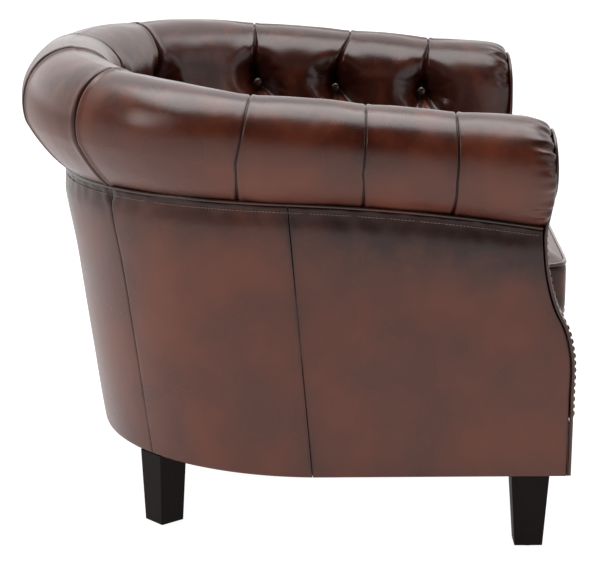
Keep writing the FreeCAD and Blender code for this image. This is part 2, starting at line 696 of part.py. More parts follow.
def lower_button_places():
    places = []
    for y, z in LOW_ARM_BUTTONS:
        half, centre = inner_plan(z)
        places.append((V(half, y, z), V(-1, 0, 0.04).normalize()))
    for turn, z in LOW_BACK_BUTTONS:
        half, centre = inner_plan(z)
        angle = math.radians(turn)
        out = V(math.sin(angle), math.cos(angle), 0)
        normal = (out * -1 + V(0, 0, 0.16)).normalize()
        places.append((V(0, centre, z) + out * half, normal))
    return places


def on_leather(leather, point, normal):
    """The place moved along its normal onto the outer face of the leather."""
    probe = line(point - normal * BUTTON_PROBE, point + normal * BUTTON_PROBE)
    inside = leather.common(probe)
    return point + normal * max((vertex.Point - point).dot(normal) for vertex in inside.Vertexes)


def save_buttons():
    wall = inner_layer(0.0, INSIDE_LEATHER, INNER_LOW_Z, INNER_HIGH_Z)
    rows = (("upper_buttons", upper_button_places(), roll_solid(0.0)),
            ("lower_buttons", lower_button_places(), wall))
    for name, places, leather in rows:
        buttons = []
        for point, normal in places:
            one = button(on_leather(leather, point, normal), normal)
            buttons.append(one)
            if point.x > 1.0:
                buttons.append(mirrored(one))
        save(name, group(buttons))


def save_welts():
    points = []
    ys = [FRONT_CURVE[8][1] + FACING_THICK + 0.8, -280.0, -210.0, -140.0, -70.0]
    for y in ys:
        z = welt_z(y)
        points.append(V(shell_plan(z)[0] - 1, y, z))
    for step in range(0, 10):
        angle = math.radians(90 - 10 * step)
        y = SHELL_HIGH_CENTRE + SHELL_HIGH_HALF * math.cos(angle)
        z = welt_z(y)
        half, centre = shell_plan(z)
        points.append(V((half - 1) * math.sin(angle), centre + (half - 1) * math.cos(angle), z))
    other = [V(-p.x, p.y, p.z) for p in reversed(points[:-1])]
    path = points + other
    curve = Part.BSplineCurve()
    curve.interpolate(path)
    start = curve.value(curve.FirstParameter)
    tangent = curve.tangent(curve.FirstParameter)[0]
    save("roll_welt", swept([curve.toShape()], start, tangent, WELT_R))
    zs = [SHELL_BOTTOM_Z + 4.0, 150.0, 200.0, 250.0, 290.0, 326.0, 354.0, 397.0, 440.0, welt_z(-342.0) - 9]
    places = [front_place(z)[0] for z in zs]
    radius = WELT_R - 0.5
    points = [V(shell_plan(p.z)[0] + radius + GAP, p.y + radius, p.z) for p in places]
    curve = Part.BSplineCurve()
    curve.interpolate(points)
    start = curve.value(curve.FirstParameter)
    tangent = curve.tangent(curve.FirstParameter)[0]
    pipe = swept([curve.toShape()], start, tangent, radius)
    return pipe


def cushion_solid(inset, bottom):
    half = CUSHION_HALF - inset
    front = CUSHION_FRONT_Y + inset
    block = d_solid(half, INNER_LOW_CENTRE, front, CUSHION_CORNER, bottom + inset, CUSHION_CROWN_Z + 10)
    middle_y = 0.5 * (CUSHION_FRONT_Y + INNER_LOW_CENTRE + CUSHION_HALF)
    ball = Part.makeSphere(CUSHION_CROWN_R, V(0, middle_y, CUSHION_CROWN_Z - inset - CUSHION_CROWN_R))
    return block.common(ball)


def piping(z):
    out = PIPING_R + GAP
    edges = d_wire(CUSHION_HALF + out, INNER_LOW_CENTRE, CUSHION_FRONT_Y - out, CUSHION_CORNER + out, z)
    start = V(CUSHION_HALF + out, CUSHION_FRONT_Y + CUSHION_CORNER, z)
    return swept(edges, start, V(0, 1, 0), PIPING_R)


def save_cushion(deck_top):
    bottom = deck_top + GAP
    save("cushion_cover", cushion_solid(0.0, bottom).cut(cushion_solid(CUSHION_SKIN, bottom)))
    save("cushion_core", cushion_solid(CUSHION_SKIN + GAP, bottom))
    save("cushion_piping_top", piping(PIPING_TOP_Z))
    save("cushion_piping_bottom", piping(PIPING_LOW_Z))
    z = 0.5 * (PIPING_TOP_Z + PIPING_LOW_Z) - ZIP_TALL / 2
    ring = Part.makeCylinder(CUSHION_HALF + GAP + ZIP_THICK, ZIP_TALL, V(0, INNER_LOW_CENTRE, z))
    ring = ring.cut(Part.makeCylinder(CUSHION_HALF + GAP, ZIP_TALL, V(0, INNER_LOW_CENTRE, z)))
    wedge_x = REACH * math.tan(math.radians(ZIP_ANGLE))
    corners = [V(0, INNER_LOW_CENTRE, z), V(wedge_x, REACH + INNER_LOW_CENTRE, z),
               V(-wedge_x, REACH + INNER_LOW_CENTRE, z), V(0, INNER_LOW_CENTRE, z)]
    wedge = Part.Face(Part.makePolygon(corners)).extrude(V(0, 0, ZIP_TALL))
    save("zip_tape", ring.common(wedge))
    angle = math.radians(ZIP_ANGLE + 1.5)
    radius = CUSHION_HALF + GAP
    slider = box(-4, 4, 0, 3, z + ZIP_TALL / 2 - 6, z + ZIP_TALL / 2 + 6)
    slider.rotate(V(0, 0, 0), V(0, 0, 1), -math.degrees(angle))
    slider.translate(V(radius * math.sin(angle), INNER_LOW_CENTRE + radius * math.cos(angle) + 0.3, 0))
    save("zip_slider", slider)


def main():
    cut_front = front_cutter(FACING_THICK)
    clear = WELT_R + 0.7
    welt_low = welt_cutter(-clear, REACH)
    welt_high = welt_cutter(clear, 0.0)
    save_panels(cut_front, welt_low)
    grown = save_covers(cut_front, welt_high)
    save_frame(cut_front, welt_low, grown)
    save_legs()
    deck_top = save_seat()
    save_front(grown)
    save_buttons()
    pipe = save_welts()
    save("facing_welts", group([pipe, mirrored(pipe)]))
    save_cushion(deck_top)


main()
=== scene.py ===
"""Upholstered tub armchair in antique brown leather, built around its CAD frame as a Blender add-on."""

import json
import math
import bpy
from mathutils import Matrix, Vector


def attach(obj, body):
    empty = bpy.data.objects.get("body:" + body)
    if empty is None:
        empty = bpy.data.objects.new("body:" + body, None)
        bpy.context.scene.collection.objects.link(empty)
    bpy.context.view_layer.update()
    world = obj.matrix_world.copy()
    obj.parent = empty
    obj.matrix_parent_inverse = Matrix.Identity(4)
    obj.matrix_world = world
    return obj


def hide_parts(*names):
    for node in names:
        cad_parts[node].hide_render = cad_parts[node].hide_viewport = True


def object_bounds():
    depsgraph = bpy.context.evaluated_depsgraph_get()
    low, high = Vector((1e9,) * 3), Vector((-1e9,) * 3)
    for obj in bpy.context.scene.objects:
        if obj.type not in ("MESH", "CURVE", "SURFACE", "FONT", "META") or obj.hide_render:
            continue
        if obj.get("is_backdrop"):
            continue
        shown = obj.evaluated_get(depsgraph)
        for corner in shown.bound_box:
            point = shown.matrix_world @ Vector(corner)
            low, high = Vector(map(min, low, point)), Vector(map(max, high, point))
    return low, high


bl_info = {
    "name": "Buttoned tub armchair",
    "version": (1, 0, 0),
    "blender": (4, 5, 0),
    "location": "3D View > Sidebar > Armchair",
    "description": "Builds the leather, piping, nails, buttons, cushion and studio of a rolled-arm tub chair",
    "category": "Object",
}

import bmesh
import bpy
import numpy as np
from mathutils import Vector, noise
from mathutils.bvhtree import BVHTree

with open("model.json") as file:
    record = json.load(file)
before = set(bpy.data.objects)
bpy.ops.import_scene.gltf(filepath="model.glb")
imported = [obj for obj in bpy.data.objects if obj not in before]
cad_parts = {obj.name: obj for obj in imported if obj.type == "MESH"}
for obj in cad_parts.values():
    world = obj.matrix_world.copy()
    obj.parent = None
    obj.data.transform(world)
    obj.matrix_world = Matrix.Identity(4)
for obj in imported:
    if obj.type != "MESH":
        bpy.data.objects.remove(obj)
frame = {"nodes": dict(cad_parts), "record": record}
CAD_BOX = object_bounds()

MM = 0.001
CHAIR = "chair"
CUSHION = "seat_cushion"

# ---- plan of the chair, millimetres: front is -Y, X = 0 is the plane of symmetry ----
CREST_R = 300.0             # radius of the roll's crest round the back, used to measure along the chair
QUARTER = CREST_R * math.pi / 2
STRAIGHT = 374.0            # length of the arm's straight part at the crest
END = QUARTER + STRAIGHT
SHELL_LOW = (110.0, 321.0, -38.0)     # height, half width and Y of the round back's centre
SHELL_HIGH = (500.0, 330.0, 5.0)
INNER_LOW = (310.0, 238.0, -53.0)
INNER_HIGH = (600.0, 250.0, -8.0)
ROLL_CENTRE = 23.0
ROLL_HALF = 311.0
ROLL_WIDE = 61.0
ROLL_TALL = 64.0
BACK_WIDER = 14.0
BACK_TALLER = 15.0
CREST_FRONT = (-351.5, 619.7)         # Y and height of the roll's top above its end
CREST_SLOPE = 0.088
WELT_PEAK = (130.0, 508.1)
WELT_ARCH = 0.0001688
SEAT_Z = 305.0
BAND_TOP = 190.0

# height and Y of the leather face of the arm front
FRONT_CURVE = ((40.0, -388.5), (112.0, -389.0), (224.0, -389.5), (290.0, -388.0), (326.0, -379.0),
               (354.0, -365.5), (397.0, -353.0), (440.0, -347.0), (470.0, -347.0), (490.0, -351.0),
               (515.0, -355.0), (558.0, -356.5), (590.0, -355.0), (612.0, -353.0), (700.0, -350.0))

# pleats over the roll, sitter's right side negative: place of the button, of the crest crossing and of the
# welt, measured along the crest from the middle of the back, height of the button, how far forward the pleat
# runs at the roll's widest part, and its depth beside the others. The two sides differ a little, as sewn.
PLEATS = ((-704.0, -714.0, -703.0, 551.0, 3.0, 1.1), (-564.0, -591.0, -574.0, 560.0, 4.0, 0.9),
          (-437.0, -436.0, -404.0, 570.0, 8.0, 1.0), (-224.0, -217.0, -209.5, 576.0, -2.0, 1.9),
          (-70.7, -63.0, -65.0, 582.0, 0.0, 2.4), (70.7, 63.0, 65.0, 582.0, 0.0, 2.0),
          (233.0, 240.0, 214.0, 576.0, 0.0, 1.3), (437.0, 441.0, 404.0, 570.0, 13.0, 1.0),
          (564.0, 594.0, 574.0, 560.0, 4.0, 1.0), (704.0, 719.0, 705.0, 551.0, 3.0, 1.1))
LOW_BUTTONS = ((0.0, 462.0), (141.0, 460.0), (305.0, 458.0), (479.0, 454.0), (630.0, 448.0), (778.0, 446.0))


def linear(hex_colour, alpha=1.0):
    """Turns an sRGB hex colour into the linear colour that a shader needs."""
    parts = [int(hex_colour[i:i + 2], 16) / 255 for i in (1, 3, 5)]
    return [c / 12.92 if c <= 0.04045 else ((c + 0.055) / 1.055) ** 2.4 for c in parts] + [alpha]


# ------------------------------------------------------------------ settings
class ChairSizes(bpy.types.PropertyGroup):
    """Sizes that change the look of the upholstery"""
    hollow_depth: bpy.props.FloatProperty(
        name="Hollow depth", description="How far each button pulls the leather in", default=0.027,
        unit="LENGTH")
    pleat_depth: bpy.props.FloatProperty(
        name="Pleat depth", description="Depth of a pleat where it crosses the roll", default=0.0032,
        unit="LENGTH")
    button_radius: bpy.props.FloatProperty(
        name="Button radius", description="Radius of a leather-covered button", default=0.0074, unit="LENGTH")
    welt_radius: bpy.props.FloatProperty(
        name="Welt radius", description="Radius of the piping under the roll", default=0.0024, unit="LENGTH")
    edge_radius: bpy.props.FloatProperty(
        name="Edge piping radius", description="Radius of the piping round the arm fronts", default=0.0022,
        unit="LENGTH")
    cushion_piping: bpy.props.FloatProperty(
        name="Cushion piping radius", description="Radius of the piping round the cushion", default=0.0032,
        unit="LENGTH")
    nail_radius: bpy.props.FloatProperty(
        name="Nail radius", description="Radius of a decorative nail head", default=0.0040, unit="LENGTH")
    nail_pitch: bpy.props.FloatProperty(
        name="Nail pitch", description="Distance between nails", default=0.0105, unit="LENGTH")
    stitch_length: bpy.props.FloatProperty(
        name="Stitch length", description="Length of one top stitch", default=0.0039, unit="LENGTH")
    stitch_pitch: bpy.props.FloatProperty(
        name="Stitch pitch", description="Distance between top stitches", default=0.0050, unit="LENGTH")


class ChairColours(bpy.types.PropertyGroup):
    """Colours of the chair's finishes, as sRGB hex values"""
    leather_mid: bpy.props.StringProperty(
        name="Leather", description="Main colour of the hide", default="#73351f")
    leather_warm: bpy.props.StringProperty(
        name="Rubbed leather", description="Colour where the finish is rubbed thin", default="#7e3d25")
    # the deep colour also gives the near-black painted shade of folds and hollows
    leather_deep: bpy.props.StringProperty(
        name="Deep leather", description="Colour where the antique finish gathers", default="#642d1b")
    piping: bpy.props.StringProperty(name="Piping", description="Colour of the piping", default="#47291e")
    button: bpy.props.StringProperty(name="Buttons", description="Colour of the buttons", default="#2c1712")
    leg: bpy.props.StringProperty(name="Legs", description="Colour of the stained legs", default="#20130f")
    nail: bpy.props.StringProperty(name="Nails", description="Colour of the nail heads", default="#80604a")
    thread: bpy.props.StringProperty(
        name="Thread", description="Colour of the top stitching", default="#b58f80")


# ------------------------------------------------------------------ shape rules
def smooth_curve(points, x):
    """Smooth curve through (x, y) points."""
    px, py = np.array(points, float).T
    slope = np.gradient(py, px)
    x = np.asarray(x, float)
    i = np.clip(np.searchsorted(px, x) - 1, 0, len(px) - 2)
    h = px[i + 1] - px[i]
    t = np.clip((x - px[i]) / h, 0, 1)
    a = (1 + 2 * t) * (1 - t) ** 2 * py[i] + t * (1 - t) ** 2 * h * slope[i]
    return a + t * t * (3 - 2 * t) * py[i + 1] + t * t * (t - 1) * h * slope[i + 1]


def smoothstep(low, high, x):
    t = np.clip((np.asarray(x, float) - low) / (high - low), 0, 1)
    return t * t * (3 - 2 * t)


def bell(distance, width, power=2.0):
    return np.exp(-np.abs(distance / width) ** power)


def level(low, high, z):
    """Half width and back centre of a leaning wall at a height."""
    share = (z - low[0]) / (high[0] - low[0])
    return low[1] + (high[1] - low[1]) * share, low[2] + (high[2] - low[2]) * share


def welt_z(y):
    return WELT_PEAK[1] - WELT_ARCH * (y - WELT_PEAK[0]) ** 2


def plan(s, half, centre, y_end):
    """X and Y of a place measured along the crest, on a plan outline of the given half width."""
    length = np.abs(s)
    angle = np.minimum(length / CREST_R, math.pi / 2)
    run = np.clip((length - QUARTER) / STRAIGHT, 0, 1)
    x = np.sign(s) * half * np.sin(angle)
    y = centre + half * np.cos(angle) * (length < QUARTER) + (y_end - centre) * run
    return x, y


def roll_at(s):
    """Centre distance, centre height, half width and half height of the roll at a place."""
    angle = np.minimum(np.abs(s) / CREST_R, math.pi / 2)
    share = np.cos(angle) ** 2
    wide = ROLL_WIDE + BACK_WIDER * share
    tall = ROLL_TALL + BACK_TALLER * share
    radius = ROLL_HALF + ROLL_WIDE - wide
    _, y = plan(s, radius, ROLL_CENTRE, CREST_FRONT[0])
    return radius, CREST_FRONT[1] + CREST_SLOPE * (y - CREST_FRONT[0]) - tall, wide, tall


def grid_normals(p):
    """Unit normals of a grid of points, rows along the first axis."""
    du = np.gradient(p, axis=1)
    dv = np.gradient(p, axis=0)
    n = np.cross(du, dv)
    return n / np.maximum(np.linalg.norm(n, axis=2, keepdims=True), 1e-9)


def wander(points, size, seed):
    """Slow random field over points in millimetres."""
    shift = Vector((seed * 13.7, seed * 7.1, seed * 3.3))
    flat = points.reshape(-1, 3) / size
    values = [noise.noise(Vector(p) + shift) for p in flat]
    return np.array(values).reshape(points.shape[:-1])


# ------------------------------------------------------------------ mesh helpers
def grid_faces(rows, columns, wrap=False):
    last = rows if wrap else rows - 1
    faces = []
    for r in range(last):
        a = r * columns
        b = ((r + 1) % rows) * columns
        faces += [(a + c, a + c + 1, b + c + 1, b + c) for c in range(columns - 1)]
    return faces


def new_piece(name, points, faces, material, rub=None, smooth=True):
    """Makes a mesh object from points in millimetres."""
    mesh = bpy.data.meshes.new(name)
    flat = np.asarray(points, float).reshape(-1, 3) * MM
    mesh.from_pydata(flat.tolist(), [], faces)
    # the darkening values are painted shade in folds, hollows and under the roll, with some patina
    if rub is not None:
        layer = mesh.attributes.new("rub", "FLOAT", "POINT")
        layer.data.foreach_set("value", np.asarray(rub, np.float32).ravel())
    mesh.validate()
    obj = bpy.data.objects.new(name, mesh)
    bpy.context.scene.collection.objects.link(obj)
    mesh.materials.append(bpy.data.materials[material])
    if smooth:
        mesh.polygons.foreach_set("use_smooth", [True] * len(mesh.polygons))
    return obj


def face_outwards(obj):
    work = bmesh.new()
    work.from_mesh(obj.data)
    bmesh.ops.remove_doubles(work, verts=work.verts, dist=1e-6)
    bmesh.ops.recalc_face_normals(work, faces=work.faces)
    work.to_mesh(obj.data)
    work.free()


def make_plain(obj):
    """Turns a curve or an object with modifiers into a plain mesh object of the same name."""
    graph = bpy.context.evaluated_depsgraph_get()
    mesh = bpy.data.meshes.new_from_object(obj.evaluated_get(graph))
    name = obj.name
    if obj.type == "MESH":
        obj.modifiers.clear()
        obj.data = mesh
        return obj
    bpy.data.objects.remove(obj)
    plain = bpy.data.objects.new(name, mesh)
    bpy.context.scene.collection.objects.link(plain)
    return plain


def tube(name, paths, radius, material, closed=False, sides=5):
    """Piping: round tubes in metres of radius along smooth paths given in millimetres."""
    curve = bpy.data.curves.new(name, "CURVE")
    curve.dimensions = "3D"
    curve.bevel_depth = radius
    curve.bevel_resolution = sides
    curve.use_fill_caps = True
    for path in paths:
        spline = curve.splines.new("POLY")
        spline.points.add(len(path) - 1)
        for point, place in zip(spline.points, path):
            point.co = (place[0] * MM, place[1] * MM, place[2] * MM, 1)
        spline.use_cyclic_u = closed
        spline.use_smooth = True
    obj = bpy.data.objects.new(name, curve)
    bpy.context.scene.collection.objects.link(obj)
    plain = make_plain(obj)
    plain.data.materials.clear()
    plain.data.materials.append(bpy.data.materials[material])
    plain.data.polygons.foreach_set("use_smooth", [True] * len(plain.data.polygons))
    return plain


def thicken(obj, thickness):
    """Gives a sheet its thickness on its inner side."""
    solid = obj.modifiers.new("Thickness", "SOLIDIFY")
    solid.thickness = thickness
    solid.offset = -1
    solid.use_even_offset = False
    return make_plain(obj)


def finish(obj, body, nodes=()):
    """Fixes a finished piece to its body and hides the CAD pieces it replaces."""
    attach(obj, body)
    if nodes:
        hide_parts(*nodes)
    return obj


# ------------------------------------------------------------------ materials
def add(tree, kind, settings=None, links=None):
    """Adds a node with its settings and its input links."""
    node = tree.nodes.new(kind)
    for key, value in (settings or {}).items():
        if isinstance(key, int) or key in node.inputs:
            node.inputs[key].default_value = value
        else:
            setattr(node, key, value)
    for key, source in (links or {}).items():
        tree.links.new(source, node.inputs[key])
    return node


def ramp(tree, factor, stops):
    node = add(tree, "ShaderNodeValToRGB", links={"Fac": factor})
    node.color_ramp.interpolation = "B_SPLINE"
    elements = node.color_ramp.elements
    while len(elements) < len(stops):
        elements.new(0.5)
    for element, (place, colour) in zip(elements, stops):
        element.position = place
        element.color = colour
    return node.outputs["Color"]


def shaded(colour, share):
    """A lighter or darker version of a linear colour."""
    return [v * share for v in colour[:3]] + [1]


def start_material(name):
    material = bpy.data.materials.new(name)
    material.use_nodes = True
    tree = material.node_tree
    tree.nodes.clear()
    shader = add(tree, "ShaderNodeBsdfPrincipled")
    add(tree, "ShaderNodeOutputMaterial", links={"Surface": shader.outputs["BSDF"]})
    place = add(tree, "ShaderNodeTexCoord").outputs["Object"]
    return tree, shader, place


def leather_material(name, mid, warm, deep, roughness, coat):
    """Cowhide with a hand-rubbed antique finish: clouded colour, painted shade with some patina in its folds
    and hollows, soft waxy gloss.
    """
    tree, shader, place = start_material(name)
    # clouds of the rubbed finish, about 110 mm across, with soft 11 mm flecks in them
    cloud = add(tree, "ShaderNodeTexNoise", {"Scale": 9.0, "Detail": 2.0, "Roughness": 0.5},
                {"Vector": place})
    fleck = add(tree, "ShaderNodeTexNoise", {"Scale": 90.0, "Detail": 3.0, "Roughness": 0.55},
                {"Vector": place})
    blend = add(tree, "ShaderNodeMath", {"operation": "MULTIPLY_ADD", 1: 0.26}, {0: fleck.outputs["Fac"]})
    tree.links.new(cloud.outputs["Fac"], blend.inputs[2])
    colour = ramp(tree, blend.outputs[0],
                  ((0.34, deep), (0.50, deep), (0.65, mid), (0.80, warm), (0.94, warm)))
    # painted shade, with some patina, turns the hide near black in folds, beside seams, round buttons and
    # under the roll, following the darkening attribute in uneven patches about 40 mm across
    fold = add(tree, "ShaderNodeAttribute", {"attribute_name": "rub"})
    patch = add(tree, "ShaderNodeTexNoise",
                {"Scale": 26.0, "Detail": 3.0, "Roughness": 0.5, "Distortion": 0.2}, {"Vector": place})
    uneven = add(tree, "ShaderNodeMapRange",
                 {"interpolation_type": "SMOOTHSTEP", "From Min": 0.30, "From Max": 0.70, "To Min": 0.74,
                  "To Max": 1.26}, {"Value": patch.outputs["Fac"]})
    patchy_patina_and_shade = add(tree, "ShaderNodeMath", {"operation": "MULTIPLY"},
                   {0: fold.outputs["Fac"], 1: uneven.outputs["Result"]})
    fold_noise = add(tree, "ShaderNodeMath", {"operation": "MULTIPLY_ADD", 1: 0.40, "use_clamp": True},
                     {0: fleck.outputs["Fac"], 2: patchy_patina_and_shade.outputs[0]})
    gate = add(tree, "ShaderNodeMapRange",
               {"interpolation_type": "SMOOTHSTEP", "From Min": 0.10, "From Max": 1.22},
               {"Value": fold_noise.outputs[0]})
    # near-black colour of the painted shade
    dark = [deep[0] * 0.16, deep[1] * 0.10, deep[2] * 0.08, 1]
    mixed = add(tree, "ShaderNodeMix", {"data_type": "RGBA"}, {"Factor": gate.outputs["Result"]})
    tree.links.new(colour, mixed.inputs[6])
    mixed.inputs[7].default_value = dark
    tree.links.new(mixed.outputs[2], shader.inputs["Base Color"])
    # pebble grain of the hide, cells about 1.6 mm, with 4 mm creasing over it
    cells = add(tree, "ShaderNodeTexVoronoi", {"feature": "DISTANCE_TO_EDGE", "Scale": 620.0},
                {"Vector": place})
    pores = add(tree, "ShaderNodeMapRange", {"From Max": 0.25}, {"Value": cells.outputs["Distance"]})
    crease = add(tree, "ShaderNodeTexNoise",
                 {"Scale": 240.0, "Detail": 3.0, "Roughness": 0.5, "Distortion": 0.3}, {"Vector": place})
    grain = add(tree, "ShaderNodeBump", {"Strength": 0.10, "Distance": 0.0004},
                {"Height": pores.outputs["Result"]})
    soft = add(tree, "ShaderNodeBump", {"Strength": 0.14, "Distance": 0.0007},
               {"Height": crease.outputs["Fac"], "Normal": grain.outputs["Normal"]})
    tree.links.new(soft.outputs["Normal"], shader.inputs["Normal"])
    tree.links.new(soft.outputs["Normal"], shader.inputs["Coat Normal"])
    rough = add(tree, "ShaderNodeMapRange", {"From Min": 0.3, "From Max": 0.7, "To Min": roughness - 0.06,
                                             "To Max": roughness + 0.07}, {"Value": cloud.outputs["Fac"]})
    tree.links.new(rough.outputs["Result"], shader.inputs["Roughness"])
    shader.inputs["IOR"].default_value = 1.5
    shader.inputs["Coat Weight"].default_value = coat
    shader.inputs["Coat Roughness"].default_value = 0.14
    shader.inputs["Coat IOR"].default_value = 1.45


def wood_material(name, light, dark, roughness, coat, specular, grain_mm):
    """Hardwood with grain running up the piece; stained dark, it shows only as faint streaks."""
    tree, shader, place = start_material(name)
    stretched = add(tree, "ShaderNodeMapping", {"Scale": (1.0, 1.0, 0.06)}, {"Vector": place})
    streak = add(tree, "ShaderNodeTexNoise", {"Scale": 1000.0 / grain_mm, "Detail": 6.0, "Roughness": 0.65},
                 {"Vector": stretched.outputs["Vector"]})
    colour = ramp(tree, streak.outputs["Fac"], ((0.35, dark), (0.70, light)))
    tree.links.new(colour, shader.inputs["Base Color"])
    bump = add(tree, "ShaderNodeBump", {"Strength": 0.2, "Distance": 0.0004},
               {"Height": streak.outputs["Fac"]})
    tree.links.new(bump.outputs["Normal"], shader.inputs["Normal"])
    shader.inputs["Roughness"].default_value = roughness
    shader.inputs["IOR"].default_value = 1.5
    shader.inputs["Coat Weight"].default_value = coat
    shader.inputs["Coat Roughness"].default_value = 0.2
    shader.inputs["Specular IOR Level"].default_value = specular


def metal_material(name, colour, shade, roughness):
    """Metal with uneven tarnish, mottles about 3 mm across."""
    tree, shader, place = start_material(name)
    spots = add(tree, "ShaderNodeTexNoise", {"Scale": 320.0, "Detail": 3.0}, {"Vector": place})
    tree.links.new(ramp(tree, spots.outputs["Fac"], ((0.38, shade), (0.62, colour))),
                   shader.inputs["Base Color"])
    rough = add(tree, "ShaderNodeMapRange", {"To Min": roughness - 0.1, "To Max": roughness + 0.1},
                {"Value": spots.outputs["Fac"]})
    tree.links.new(rough.outputs["Result"], shader.inputs["Roughness"])
    shader.inputs["Metallic"].default_value = 1.0


def cloth_material(name, colour, shade, thread_mm, roughness):
    """Woven or felted cloth: crossed threads at the given spacing, dull, with a little sheen."""
    tree, shader, place = start_material(name)
    scale = math.pi / (thread_mm * MM) / 10
    warp = add(tree, "ShaderNodeTexWave", {"bands_direction": "X", "Scale": scale, "Distortion": 0.6},
               {"Vector": place})
    weft = add(tree, "ShaderNodeTexWave", {"bands_direction": "Y", "Scale": scale, "Distortion": 0.6},
               {"Vector": place})
    weave = add(tree, "ShaderNodeMath", {"operation": "MULTIPLY"},
                {0: warp.outputs["Fac"], 1: weft.outputs["Fac"]})
    tree.links.new(ramp(tree, weave.outputs[0], ((0.05, shade), (0.7, colour))), shader.inputs["Base Color"])
    bump = add(tree, "ShaderNodeBump", {"Strength": 0.3, "Distance": 0.0003}, {"Height": weave.outputs[0]})
    tree.links.new(bump.outputs["Normal"], shader.inputs["Normal"])
    shader.inputs["Roughness"].default_value = roughness
    shader.inputs["Sheen Weight"].default_value = 0.2


def foam_material(name, colour, shade):
    """Cut polyurethane foam: pale, matt, with open cells about 1 mm across."""
    tree, shader, place = start_material(name)
    cells = add(tree, "ShaderNodeTexVoronoi", {"Scale": 900.0}, {"Vector": place})
    tree.links.new(ramp(tree, cells.outputs["Distance"], ((0.1, shade), (0.6, colour))),
                   shader.inputs["Base Color"])
    bump = add(tree, "ShaderNodeBump", {"Strength": 0.4, "Distance": 0.0004},
               {"Height": cells.outputs["Distance"]})
    tree.links.new(bump.outputs["Normal"], shader.inputs["Normal"])
    shader.inputs["Roughness"].default_value = 0.95


def plastic_material(name, colour, roughness):
    """Moulded plastic with the fine texture of its mould, about 0.5 mm."""
    tree, shader, place = start_material(name)
    speck = add(tree, "ShaderNodeTexNoise", {"Scale": 1800.0, "Detail": 2.0}, {"Vector": place})
    shade = shaded(colour, 0.8)
    tree.links.new(ramp(tree, speck.outputs["Fac"], ((0.35, shade), (0.65, colour))),
                   shader.inputs["Base Color"])
    bump = add(tree, "ShaderNodeBump", {"Strength": 0.15, "Distance": 0.0001},
               {"Height": speck.outputs["Fac"]})
    tree.links.new(bump.outputs["Normal"], shader.inputs["Normal"])
    shader.inputs["Roughness"].default_value = roughness


# record slot: material used for the CAD pieces that stay as they are
FINISHES = {
    "leather": "rubbed_cowhide", "leather_dark": "piping_cowhide", "nail_metal": "bronzed_steel",
    "leg_wood": "wenge_stained_beech", "frame_wood": "sawn_beech", "foam": "cut_foam",
    "lining": "jute_hessian", "wadding": "polyester_felt", "black_cloth": "black_spunbond",
    "steel": "zinc_plated_steel",
    "glide": "moulded_nylon", "zip": "zip_tape_weave",
}


class CHAIR_OT_materials(bpy.types.Operator):
    """Make every finish and give it to the CAD pieces that stay in view"""
    bl_idname = "chair.materials"
    bl_label = "Finishes"

    def execute(self, context):
        c = context.scene.chair_colours
        mid, warm, deep = linear(c.leather_mid), linear(c.leather_warm), linear(c.leather_deep)
        leather_material("rubbed_cowhide", mid, warm, deep, 0.30, 0.34)
        leather_material("seat_cowhide", mid, warm, deep, 0.36, 0.10)
        pipe = linear(c.piping)
        leather_material("piping_cowhide", pipe, shaded(pipe, 1.6), shaded(pipe, 0.5), 0.32, 0.6)
        shade = linear(c.button)
        leather_material("button_cowhide", shade, shaded(shade, 1.5), shaded(shade, 0.5), 0.26, 0.7)
        leg = linear(c.leg)
        wood_material("wenge_stained_beech", leg, shaded(leg, 0.35), 0.5, 0.03, 0.14, 2.5)
        wood_material("sawn_beech", linear("#c9a477"), linear("#a67c50"), 0.65, 0.0, 0.4, 3.0)
        nail = linear(c.nail)
        metal_material("bronzed_steel", nail, shaded(nail, 0.3), 0.36)
        metal_material("zinc_plated_steel", linear("#b9bcc0"), linear("#8d9196"), 0.4)
        cloth_material("jute_hessian", linear("#a58a61"), linear("#6d5738"), 1.6, 0.9)
        cloth_material("polyester_felt", linear("#e6e3da"), linear("#c9c5ba"), 1.0, 0.95)
        cloth_material("black_spunbond", linear("#2a2a2b"), linear("#141414"), 1.2, 0.85)
        cloth_material("zip_tape_weave", linear("#3a2a24"), linear("#1e1512"), 0.8, 0.8)
        cloth_material("waxed_thread", linear(c.thread), linear("#7d5c50"), 0.6, 0.6)
        foam_material("cut_foam", linear("#e4d9a8"), linear("#b7a974"))
        plastic_material("moulded_nylon", linear("#1b1b1c"), 0.5)
        slots = {entry["node"]: entry["material_slot"] for entry in frame["record"]["subparts"]}
        for node, obj in frame["nodes"].items():
            obj.data.materials.clear()
            obj.data.materials.append(bpy.data.materials[FINISHES[slots[node]]])
        return {"FINISHED"}


# ------------------------------------------------------------------ tufted leather of arms, back and roll
NECK_CLEAR = 2.0            # height of the cover's lower edge above the middle of the welt
WALL_ROWS = 62
ROLL_ROWS = 64
NECK_ROWS = 22
HIDDEN_INSET = 8.0          # the padding's hidden top edge lies this far inside the shell
HIDDEN_BEHIND = 12.0        # and its hidden front this far behind the arm front
PADDING_THICK = 29.0
COLUMN_STEP = 5.4           # spacing of the columns away from pleats
END_BEHIND = 2.6            # how far the cover's front edge lies behind the face of the arm front
END_LENGTH = 40.0           # length of the rounding at the front end of the roll
END_DRAW = 17.0             # how far it draws in
LAST_ANGLE = math.radians(-20)
CREST_ROW = WALL_ROWS + (ROLL_ROWS - 1) * (math.pi / 2) / (math.pi - LAST_ANGLE)
COVER_ROWS = WALL_ROWS + ROLL_ROWS + NECK_ROWS
LOW_SHARE = 0.85            # depth of the lower hollows as a share of the upper ones
INNER_SHARE = 0.86          # length along the inside of the chair as a share of that along the crest
# short folds that run up from a button: lean, start and reach above it
SHORT_FOLDS = ((-0.10, 9, 52), (0.09, 12, 46), (-0.34, 8, 34), (0.36, 8, 30))


def low_places():
    """Place along the chair and height of every button of the lower row, on both sides."""
    return [(side * place, height) for place, height in LOW_BUTTONS for side in ((-1, 1) if place else (1,))]


